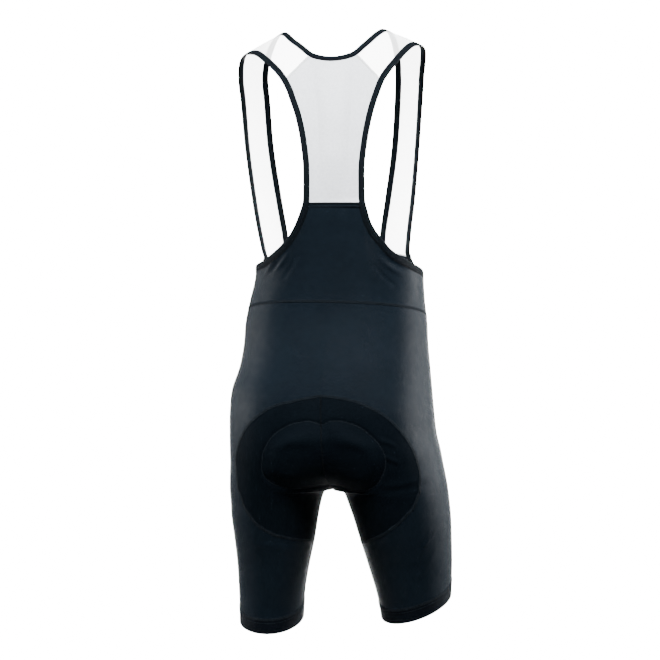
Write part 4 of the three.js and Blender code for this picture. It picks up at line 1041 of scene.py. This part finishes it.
LYCRA_LOOK = knit_material("lycra_knit", (0.0021, 0.0038, 0.006), (0.0032, 0.0058, 0.009), 0.55, 0.48, 0.004,
                           (0.45, 0.7, 0.92), 0.02)
INSERT_LOOK = knit_material("insert_knit", (0.0013, 0.0022, 0.0034), (0.002, 0.0034, 0.005), 0.8, 0.6, 0.0005,
                            (0.5, 0.68, 0.85), 0.005)
BAND_LOOK = knit_material("band_knit", (0.0014, 0.0021, 0.0034), (0.0021, 0.0032, 0.005), 0.9, 0.55, 0.002,
                          (0.5, 0.7, 0.88), 0.02)
MESH_LOOK = mesh_material("white_mesh", (0.37, 0.39, 0.425), (0.53, 0.552, 0.59), (0.62, 0.642, 0.675), 1.0)
# Straps: the same white mesh as the bib, but with paler holes and yarn. That extra whiteness is painted
# light, standing in for light shining through the thin strap; the lower cover of 0.4 lets the backdrop show
# through for real.
STRAP_PAINTED_LIGHT_LOOK = mesh_material("stretched_mesh_painted_light", (0.7, 0.715, 0.73), (0.86, 0.87, 0.88), (0.93, 0.935, 0.94), 0.4)
BINDING_LOOK = ribbed_material("binding_elastic", (0.0014, 0.0022, 0.0032), (0.0026, 0.004, 0.0056), 0.9)
THREAD_LOOK = ribbed_material("seam_thread", (0.002, 0.0031, 0.0044), (0.0044, 0.0066, 0.009), 0.5)
FLAT_THREAD_LOOK = ribbed_material("flat_seam_thread", (0.0009, 0.0014, 0.002), (0.002, 0.0032, 0.0044), 0.5)
PALE_THREAD_LOOK = ribbed_material("pale_thread", (0.5, 0.52, 0.55), (0.78, 0.8, 0.82), 0.5)
PAD_LOOK = knit_material("pad_cloth", (0.012, 0.014, 0.017), (0.022, 0.026, 0.031), 1.2, 0.85, 0.05,
                         (0.7, 0.74, 0.78), 0.15)


# Meshes


def make_object(name, points, faces, uvs, material, sharp_degrees=CLOTH_SHARP):
    """A mesh object from points in millimetres; faces and uvs are lists of corner rows."""
    mesh = bpy.data.meshes.new(name)
    mesh.from_pydata((np.asarray(points) * MM).tolist(), [], [list(map(int, f)) for f in faces])
    layer = mesh.uv_layers.new(name="cloth")
    corners = np.concatenate([np.asarray(u, float) for u in uvs]) * MM
    layer.data.foreach_set("uv", corners.astype(np.float32).ravel())
    mesh.shade_smooth()
    mesh.set_sharp_from_angle(angle=math.radians(sharp_degrees))
    mesh.update()
    mesh.materials.append(material)
    obj = bpy.data.objects.new(name, mesh)
    bpy.context.scene.collection.objects.link(obj)
    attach(obj, "root")
    return obj


def border_of(faces):
    """Border edges of a skin, each with the cloth on its left."""
    pairs = np.concatenate([faces[:, [k, (k + 1) % 4]] for k in range(4)])
    pairs = pairs[pairs[:, 0] != pairs[:, 1]]
    seen = {tuple(p) for p in pairs.tolist()}
    return np.array([p for p in sorted(seen) if (p[1], p[0]) not in seen])


def draw_in(s, border, amount):
    """Draws the border of a skin in by half a seam gap."""
    a, b = border.T
    inward = np.zeros_like(s["points"])
    for end in (a, b):
        np.add.at(inward, end, unit(np.cross(s["normals"][end], s["points"][b] - s["points"][a])))
    return s["points"] + unit(inward) * (np.linalg.norm(inward, axis=1, keepdims=True) > 0.01) * amount


def clean_faces(faces, uvs):
    """Drops repeated corners, so that a quad that has shrunk on one side becomes a triangle."""
    out_faces, out_uvs = [], []
    for face, uv in zip(faces.tolist(), uvs.tolist()):
        keep = [k for k in range(4) if face[k] != face[k - 1]]
        if len(keep) >= 3 and len({face[k] for k in keep}) == len(keep):
            out_faces.append([face[k] for k in keep])
            out_uvs.append([uv[k] for k in keep])
    return out_faces, out_uvs


def shell(s, outer_at, inner_at):
    """Closed thin solid between two offsets of a skin."""
    border = border_of(s["faces"])
    base = draw_in(s, border, SEAM_GAP / 2)
    count = len(base)
    points = np.concatenate([base + s["normals"] * at[:, None] for at in (outer_at, inner_at)])
    faces, uvs = clean_faces(s["faces"], s["uvs"])
    inner_faces = [[i + count for i in face[::-1]] for face in faces]
    inner_uvs = [uv[::-1] for uv in uvs]
    rim = [[b, a, a + count, b + count] for a, b in border.tolist()]
    rim_uvs = [[[0, 0], [1, 0], [1, 1], [0, 1]]] * len(rim)
    return points, faces + inner_faces + rim, uvs + inner_uvs + rim_uvs


def cloth_piece(name, thickness, material):
    s = SKINS[name]
    relief = relief_at(s["points"])
    points, faces, uvs = shell(s, relief + thickness / 2, relief - thickness / 2)
    obj = make_object(name + "_cloth", points, faces, uvs, material)
    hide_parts(name)
    return obj


# Each panel: thickness, look, slot, width and length of its flat cut in metres, and how much its area
# grows when worn
PIECES = {
    "bib_back": (MESH_CLOTH, MESH_LOOK, "mesh", 0.21, 0.24, 1.08),
    "strap_left": (MESH_CLOTH, STRAP_PAINTED_LIGHT_LOOK, "mesh", 0.07, 0.42, 1.08),
    "strap_right": (MESH_CLOTH, STRAP_PAINTED_LIGHT_LOOK, "mesh", 0.07, 0.42, 1.08),
    "back_yoke": (LYCRA, LYCRA_LOOK, "lycra", 0.35, 0.17, 1.2),
    "front_yoke": (LYCRA, LYCRA_LOOK, "lycra", 0.36, 0.12, 1.2),
    "shorts_main": (LYCRA, LYCRA_LOOK, "lycra", 0.78, 0.46, 1.25),
    "shorts_front_left": (LYCRA, LYCRA_LOOK, "lycra", 0.2, 0.46, 1.25),
    "shorts_front_right": (LYCRA, LYCRA_LOOK, "lycra", 0.2, 0.46, 1.25),
    "seat_insert_left": (LYCRA, INSERT_LOOK, "insert", 0.22, 0.26, 1.2),
    "seat_insert_right": (LYCRA, INSERT_LOOK, "insert", 0.22, 0.26, 1.2),
    "hem_left": (HEM_CLOTH, BAND_LOOK, "band", 0.34, 0.024, 1.12),
    "hem_right": (HEM_CLOTH, BAND_LOOK, "band", 0.36, 0.024, 1.12),
}
for name, (thickness, look, slot, width, length, stretch) in PIECES.items():
    cloth = cloth_piece(name, thickness, look)


# Bindings


def sweep(name, points, normals, outwards, profiles, material, closed):
    """Sweeps a closed profile of (outward, up) places along a line. UV runs along and round it."""
    count = len(points)
    profiles = np.array(profiles)
    size = profiles.shape[1]
    ring = (points[:, None] + outwards[:, None] * profiles[..., :1] + normals[:, None] * profiles[..., 1:])
    length = lengths_along(points)
    girth = lengths_along(profiles[0])
    steps = count if closed else count - 1
    faces, uvs = [], []
    for i in range(steps):
        j = (i + 1) % count
        far = length[i + 1] if i + 1 < count else length[i] + CLOSING_STEP
        for k in range(size):
            m = (k + 1) % size
            top = girth[m] if m else girth[k] + CLOSING_SIDE
            faces.append([i * size + k, j * size + k, j * size + m, i * size + m])
            uvs.append([[length[i], girth[k]], [far, girth[k]], [far, top], [length[i], top]])
    if not closed:
        faces.append(list(range(size)))
        faces.append([(count - 1) * size + k for k in reversed(range(size))])
        uvs += [[[0, g] for g in girth], [[0, g] for g in girth[::-1]]]
    flat = ring.reshape(-1, 3)
    quads = np.array(faces[:steps * size])
    around = quad_normals(flat, quads)
    middle = points[quads[:, 0] // size]
    if (around * (flat[quads].mean(1) - middle)).sum() < 0:
        faces = [f[::-1] for f in faces]
        uvs = [u[::-1] for u in uvs]
    return make_object(name, flat, faces, uvs, material, TRIM_SHARP)


def binding_profile(width):
    """Section of folded elastic, flat on both faces with a rounded fold and a sewn edge."""
    half = BINDING_THICK / 2
    w = width + BINDING_START
    places = [(-BINDING_LAP, 0.74), (-BINDING_LAP + 0.5, 0.9), (0.9, 0.84), (2.0, 1.0), (w * 0.62, 1.05),
              (w - 1.5, 0.9), (w - 0.5, 0.55)]
    upper = [(out, half * share) for out, share in places]
    return [*upper, (w, 0), *[(o, -n) for o, n in reversed(upper)]]


def opening_sides():
    """Direction from the cloth edge into the opening, by place."""
    outward = {}
    for s in SKINS.values():
        a, b = border_of(s["faces"]).T
        for end in (a, b):
            out = unit(np.cross(s["points"][b] - s["points"][a], s["normals"][end]))
            for i, o in zip(end, out):
                outward[s["keys"][i]] = outward.get(s["keys"][i], 0) + o
    return outward


OPENING = opening_sides()
BIB_NET = bib_net()[0]


def front_points(indexes):
    return points_of([FRONT_TOP[j] for j in indexes], False)


def armhole_run(side):
    """Cloth edge round an armhole with the binding's width at each point."""
    straps = (STRAP_LEFT if side > 0 else STRAP_RIGHT)["outer"]
    count, yoke_count = len(FRONT_TOP) - 1, len(YOKE_TOP) - 1
    front = [k if side > 0 else count - k for k in range(FRONT_EDGE, 0, -1)]
    yoke = [k if side > 0 else yoke_count - k for k in range(YOKE_EDGE)]
    points = np.concatenate([
        straps[:-1],
        front_points(front),
        points_of([YOKE_TOP[j] for j in yoke], True),
        BIB_NET[:-1, 0 if side > 0 else -1],
    ])
    f = np.arange(FRONT_EDGE, 0, -1) / FRONT_EDGE
    widths = np.concatenate([
        width_run(BINDING_BACK)[:-1],
        BINDING_BACK + (BINDING_FRONT - BINDING_BACK) * f,
        np.full(YOKE_EDGE + BIB_ROWS, BINDING_BACK),
    ])
    return points, widths


def neck_run():
    """Cloth edge round the neck with the binding's width at each point."""
    top = BIB_NET[-1]
    first = FRONT_EDGE + DIAGONAL
    points = np.concatenate([
        top[len(top) - 1 - DIAGONAL - np.arange(NECKLINE)],
        STRAP_LEFT["inner"][:-1],
        front_points(range(first, first + 2 * BIB_HALF + 1)),
        STRAP_RIGHT["inner"][STRAP_ROWS - 1:0:-1],
    ])
    widths = np.concatenate([
        np.full(NECKLINE, BINDING_NECK),
        width_run(BINDING_NECK)[:-1],
        np.full(2 * BIB_HALF + 1, BINDING_FRONT),
        width_run(BINDING_NECK)[STRAP_ROWS - 1:0:-1],
    ])
    return points, widths


def smooth_round(values, passes):
    """Evens out a closed run of values."""
    for _ in range(passes):
        values = (np.roll(values, 1, 0) + 2 * values + np.roll(values, -1, 0)) / 4
    return values


def binding(name, run):
    points, widths = run
    along = unit(np.roll(points, -1, 0) - np.roll(points, 1, 0))
    normals = unit(smooth_round(normals_at(points), 6))
    hints = np.array([OPENING[key] for key in keys_of(points)])
    out = unit(np.cross(along, normals))
    out = np.where((out * hints).sum(1, keepdims=True) < 0, -out, out)
    base = points + normals * relief_at(points)[:, None]
    profiles = [binding_profile(width) for width in widths]
    obj = sweep(name + "_elastic", base, normals, out, profiles, BINDING_LOOK, True)
    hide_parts(name)


binding("armhole_binding_left", armhole_run(1))
binding("armhole_binding_right", armhole_run(-1))
binding("neck_binding", neck_run())


# Pad


def angle_at_reach(side, row, is_back, reach):
    """Angle at which a section lies a given distance from the middle plane."""
    s = smooth_run(SECTIONS, row)
    spread, out, inner, _ = side_values(s, side > 0)
    wide = np.clip((reach - spread) / (out - spread), 0, 1) ** (s[..., SQUARE] / 2)
    above = spread / np.maximum(pinch(s, row, is_back), 1e-6)
    inward = np.where(row >= CROTCH, spread - np.maximum(0, inner), above)
    return np.where(reach > spread, np.arccos(wide), np.arccos(np.clip((reach - spread) / inward, -1, 1)))


def pad_net(half, is_back):
    table = np.array(PAD_BACK if is_back else PAD_FRONT, float)
    seat = half["seat"]
    rows = seat[(seat >= table[0, 0]) & (seat < table[-1, 0])]
    rows = np.concatenate([rows[::2], [table[-1, 0]]])
    reach = np.interp(rows, table[:, 0], table[:, 1])
    end = end_angle(rows, is_back)
    start = np.minimum(end, angle_at_reach(half["side"], rows, is_back, reach))
    f = np.linspace(0, 1, PAD_COLUMNS + 1)[None, :]
    angles = start[:, None] * (1 - f) + end[:, None] * f
    points = body(half["side"], rows[:, None], angles if is_back else -angles)
    return points, (half["side"] < 0) == is_back


def pad_piece():
    s = skin([pad_net(h, is_back) for h in (LEFT, RIGHT) for is_back in (True, False)])
    s["normals"] = unit(point_sums(s))
    rim = s["points"][np.unique(border_of(s["faces"]))]
    gap = np.full(len(s["points"]), 1e9)
    for start in range(0, len(rim), 40):
        part = rim[start:start + 40]
        gap = np.minimum(gap, np.linalg.norm(s["points"][:, None] - part[None], axis=2).min(1))
    depth = PAD_EDGE + (PAD_MIDDLE - PAD_EDGE) * eased(gap, PAD_RISE)
    outer = np.full(len(gap), -(LYCRA / 2 + PAD_CLEARANCE))
    points, faces, uvs = shell(s, outer, outer - depth)
    obj = make_object("seat_pad_foam", points, faces, uvs, PAD_LOOK)
    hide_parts("seat_pad")


pad_piece()


# Seams

# Half width and height of each kind of seam
FLAT_SEAM = dict(half=2.3, height=0.45)
STITCH_LINE = dict(half=0.7, height=0.35)
MIDDLE_SEAM = dict(half=1.5, height=0.35)
PAD_SEAM = dict(half=1.1, height=0.4)
ARMHOLE_SEAM = dict(half=0.8, height=0.4)
MESH_SEAM = dict(half=1.6, height=0.5)
SHOULDER_SEAM = dict(half=2.0, height=0.4)
STRAP_SEAM = dict(half=1.8, height=0.5)

HEM_STITCH_ROW = 2
YOKE_STITCH_DROP = 5.0
ARMHOLE_SEAM_DROP = 2.2


def seam_profile(half, height, lift):
    """Section of a flat seam: a low ribbon with two rows of thread and a shallow middle."""
    left = [(-1, -0.3), (-0.94, 0.55), (-0.62, 1), (-0.3, 0.72)]
    places = [*left, (0, 0.6), *[(-a, b) for a, b in reversed(left)]]
    return [(half * a, lift + height * b) for a, b in places]


def ribbon(name, points, normals, material, slot, lift, half, height, closed=False):
    """A flat seam along a line of the cloth, which follows the creases."""
    base = points + normals * relief_at(points)[:, None]
    if closed:
        along = unit(np.roll(base, -1, 0) - np.roll(base, 1, 0))
    else:
        along = tangents(base)
    out = unit(np.cross(along, normals))
    profiles = [seam_profile(half, height, lift)] * len(base)
    obj = sweep(name, base, normals, out, profiles, material, closed)


def seam_of(name, points, material=THREAD_LOOK, slot="lycra", lift=LYCRA / 2, size=FLAT_SEAM, closed=False):
    ribbon(name, points, normals_at(points), material, slot, lift, **size, closed=closed)


def without_repeats(points):
    keep = np.concatenate([[True], np.linalg.norm(np.diff(points, axis=0), axis=1) > 0.02])
    return points[keep]


def waist_ring():
    back = points_of(waist_back(), True)
    front = points_of(waist_front(), False)
    return without_repeats(np.concatenate([back[:-1], front[:0:-1]]))


def laid_on_back(line):
    """Points and outward directions of the back along a line of (x, z) places."""
    points, normals = [], []
    for x, z in line:
        here, right, up = (spot(x + a, z + b) for a, b in ((0, 0), (-1, 0), (0, 1)))
        points.append(here)
        normals.append(np.cross(up - here, here - right))
    normals = unit(np.array(normals))
    return np.array(points), normals * np.sign(normals[:, 1:2])


def pad_seam():
    """Sewn line of the pad, which shows round it through the seat insert."""
    points, normals = laid_on_back(closed_line(PAD_OUTLINE, PAD_SEAM_POINTS)[:-1])
    ribbon("seam_pad", points, normals, THREAD_LOOK, "insert", LYCRA / 2, **PAD_SEAM, closed=True)


def armhole_seam(side):
    """Dark sewn line below the armhole binding of the back yoke."""
    count = len(YOKE_TOP) - 1
    places = [YOKE_TOP[k if side > 0 else count - k] for k in range(YOKE_EDGE + 1)]
    line = points_of(places, True)
    points, normals = beside(line, side * ARMHOLE_SEAM_DROP)
    name = "seam_armhole_left" if side > 0 else "seam_armhole_right"
    ribbon(name, points, normals, FLAT_THREAD_LOOK, "lycra", LYCRA / 2, **ARMHOLE_SEAM)


def beside(points, amount):
    """A line moved sideways along the cloth."""
    normals = normals_at(points)
    return points + unit(np.cross(tangents(points), normals)) * amount, normals


def joined(left, right):
    """One line from a line of the left half and a line of the right half that meet."""
    return without_repeats(np.concatenate([left, right]))


CROTCH_STEP = UPPER_ROWS + SEAT_ROWS
HALVES = (("left", LEFT), ("right", RIGHT))

left, right = (half["points"][UPPER_ROWS:UPPER_ROWS + len(half["seat"]), -1] for _, half in HALVES)
seam_of("seam_insert", joined(left[:0:-1], right))
middle = insert_net(LEFT)[0][:SEAT_ROWS + 1, -1]
seam_of("seam_insert_middle", without_repeats(middle), material=FLAT_THREAD_LOOK, size=MIDDLE_SEAM)
pad_seam()
armhole_seam(1)
armhole_seam(-1)
seam_of("seam_waist", waist_ring(), closed=True)
for side_name, half in HALVES:
    seam_of("seam_front_" + side_name, half["points"][:, FRONT_COLUMNS])
left, right = (half["points"][CROTCH_STEP:, 0] for _, half in HALVES)
seam_of("seam_inseam", joined(left[::-1], right))
seam_of("seam_centre_front", without_repeats(LEFT["points"][:CROTCH_STEP + 1, 0]))
for side_name, half in HALVES:
    band = hem_net(half)[0][:, :-1]
    seam_of("seam_hem_" + side_name, band[0], lift=HEM_CLOTH / 2, slot="band", closed=True)
    seam_of("stitch_hem_" + side_name, band[HEM_STITCH_ROW], lift=HEM_CLOTH / 2, slot="band",
            size=STITCH_LINE, closed=True)

back_seam = points_of(YOKE_TOP[YOKE_EDGE:YOKE_EDGE + 2 * BIB_HALF + 1], True)
seam_of("seam_mesh_yoke", back_seam, material=BINDING_LOOK, size=MESH_SEAM)
line, line_normals = beside(back_seam, YOKE_STITCH_DROP)
ribbon("stitch_mesh_yoke", line, line_normals, THREAD_LOOK, "lycra", LYCRA / 2, **STITCH_LINE)
for side_name, edges, first, step in (("left", STRAP_LEFT, FRONT_EDGE, 1),
                                      ("right", STRAP_RIGHT, len(FRONT_TOP) - 1 - FRONT_EDGE, -1)):
    shoulder = straight_run(edges["outer"][0], edges["inner"][0], DIAGONAL)
    seam_of("seam_shoulder_" + side_name, shoulder, material=PALE_THREAD_LOOK, slot="mesh",
            lift=MESH_CLOTH / 2, size=SHOULDER_SEAM)
    front = front_points([first + step * k for k in range(DIAGONAL + 1)])
    seam_of("seam_strap_front_" + side_name, front, material=BINDING_LOOK, size=STRAP_SEAM)
waist = waist_back()
for side_name, side, end in (("left", 1, 0), ("right", -1, -1)):
    rows = np.linspace(YOKE_TOP[end][1], waist[end][1], YOKE_ROWS + 1)
    seam_of("seam_yoke_side_" + side_name, across(np.full(YOKE_ROWS + 1, float(side)), rows, True))


# Stage, light and camera

CAMERA_PLACE = (0.0064, 3.0, -0.462)
CAMERA_LENS = 102.3
SENSOR_WIDTH = 36
FLOOR_HEIGHT = -2.6
FLOOR_FRONT = 12.0
FLOOR_HALF = 14
WALL_DEPTH = 7.0
WALL_HEIGHT = 6.0
WALL_BEND = 2.0
GLOW_DEPTH = (-5.0, -5.8)
GLOW_WIDTH = (2.6, 2.1)
GLOW_STRENGTH = 18.0
WORLD_STRENGTH = 0.14

# Area lights: name, place, aim, size, power and spread in degrees
LIGHTS = [
    ("left_side", (2.25, -0.8, -0.25), (0, 0, -0.55), (1.0, 1.0), 15, 50),
    ("right_side", (-2.25, -0.8, -0.25), (0, 0, -0.55), (1.0, 1.0), 29, 50),
    ("top_soft", (0, 1.6, 1.9), (0, 0, -0.2), (2.0, 1.2), 60, 45),
]


def faded(material, source, start, end):
    """A value that runs smoothly from 0 at start to 1 at end."""
    node = add_node(material, "ShaderNodeMapRange", interpolation_type="SMOOTHSTEP")
    set_inputs(node, From_Min=start, From_Max=end)
    link(material, source, node.inputs["Value"])
    return node.outputs["Result"]


def floor_material():
    """Pale paper; the sweep behind the object glows white like a lit studio wall."""
    material, shader = new_material("pale_floor")
    grain = add_node(material, "ShaderNodeTexNoise", Scale=3.0, Detail=2.0)
    paper = ramp(material, grain.outputs["Fac"], [(0.3, grey(0.9)), (0.7, grey(0.94))])
    link(material, paper, shader.inputs["Base Color"])
    shader.inputs["Roughness"].default_value = 0.9
    axes = add_node(material, "ShaderNodeSeparateXYZ")
    link(material, add_node(material, "ShaderNodeTexCoord").outputs["Object"], axes.inputs["Vector"])
    sideways = add_node(material, "ShaderNodeMath", operation="ABSOLUTE")
    link(material, axes.outputs["X"], sideways.inputs[0])
    glow = add_node(material, "ShaderNodeMath", operation="MULTIPLY")
    link(material, faded(material, axes.outputs["Y"], *GLOW_DEPTH), glow.inputs[0])
    link(material, faded(material, sideways.outputs["Value"], *GLOW_WIDTH), glow.inputs[1])
    strength = add_node(material, "ShaderNodeMath", operation="MULTIPLY")
    link(material, glow.outputs["Value"], strength.inputs[0])
    strength.inputs[1].default_value = GLOW_STRENGTH
    shader.inputs["Emission Color"].default_value = (1, 1, 1, 1)
    link(material, strength.outputs["Value"], shader.inputs["Emission Strength"])
    return material


def floor_and_backdrop():
    """Pale floor that curves up into a pale wall behind the object."""
    foot = WALL_BEND - WALL_DEPTH
    line = [(FLOOR_FRONT, FLOOR_HEIGHT), (foot, FLOOR_HEIGHT)]
    line += [(foot - WALL_BEND * math.sin(a), FLOOR_HEIGHT + WALL_BEND * (1 - math.cos(a)))
             for a in np.linspace(0.1, math.pi / 2, 14)]
    line.append((-WALL_DEPTH, FLOOR_HEIGHT + WALL_HEIGHT))
    verts = [(x, y, z) for x in (-FLOOR_HALF, FLOOR_HALF) for y, z in line]
    count = len(line)
    faces = [[i, i + 1, i + 1 + count, i + count] for i in range(count - 1)]
    mesh = bpy.data.meshes.new("floor")
    mesh.from_pydata(verts, [], faces)
    mesh.shade_smooth()
    mesh.materials.append(floor_material())
    obj = bpy.data.objects.new("floor", mesh)
    bpy.context.scene.collection.objects.link(obj)


def area_light(name, place, aim, size, power, spread):
    light = bpy.data.lights.new(name, "AREA")
    light.shape = "RECTANGLE"
    light.size, light.size_y = size
    light.energy = power
    light.spread = math.radians(spread)
    obj = bpy.data.objects.new(name, light)
    obj.location = place
    obj.rotation_mode = "QUATERNION"
    obj.rotation_quaternion = (Vector(aim) - Vector(place)).to_track_quat("-Z", "Y")
    bpy.context.scene.collection.objects.link(obj)


def world_light(strength):
    world = bpy.data.worlds.new("studio")
    world.use_nodes = True
    background = world.node_tree.nodes["Background"]
    background.inputs["Color"].default_value = (1, 1, 1, 1)
    background.inputs["Strength"].default_value = strength
    bpy.context.scene.world = world


def camera():
    data = bpy.data.cameras.new("camera")
    data.lens = CAMERA_LENS
    data.sensor_width = SENSOR_WIDTH
    obj = bpy.data.objects.new("camera", data)
    obj.location = CAMERA_PLACE
    obj.rotation_euler = (math.pi / 2, 0, math.pi)
    bpy.context.scene.collection.objects.link(obj)
    bpy.context.scene.camera = obj


floor_and_backdrop()
world_light(WORLD_STRENGTH)
for light in LIGHTS:
    area_light(*light)
camera()
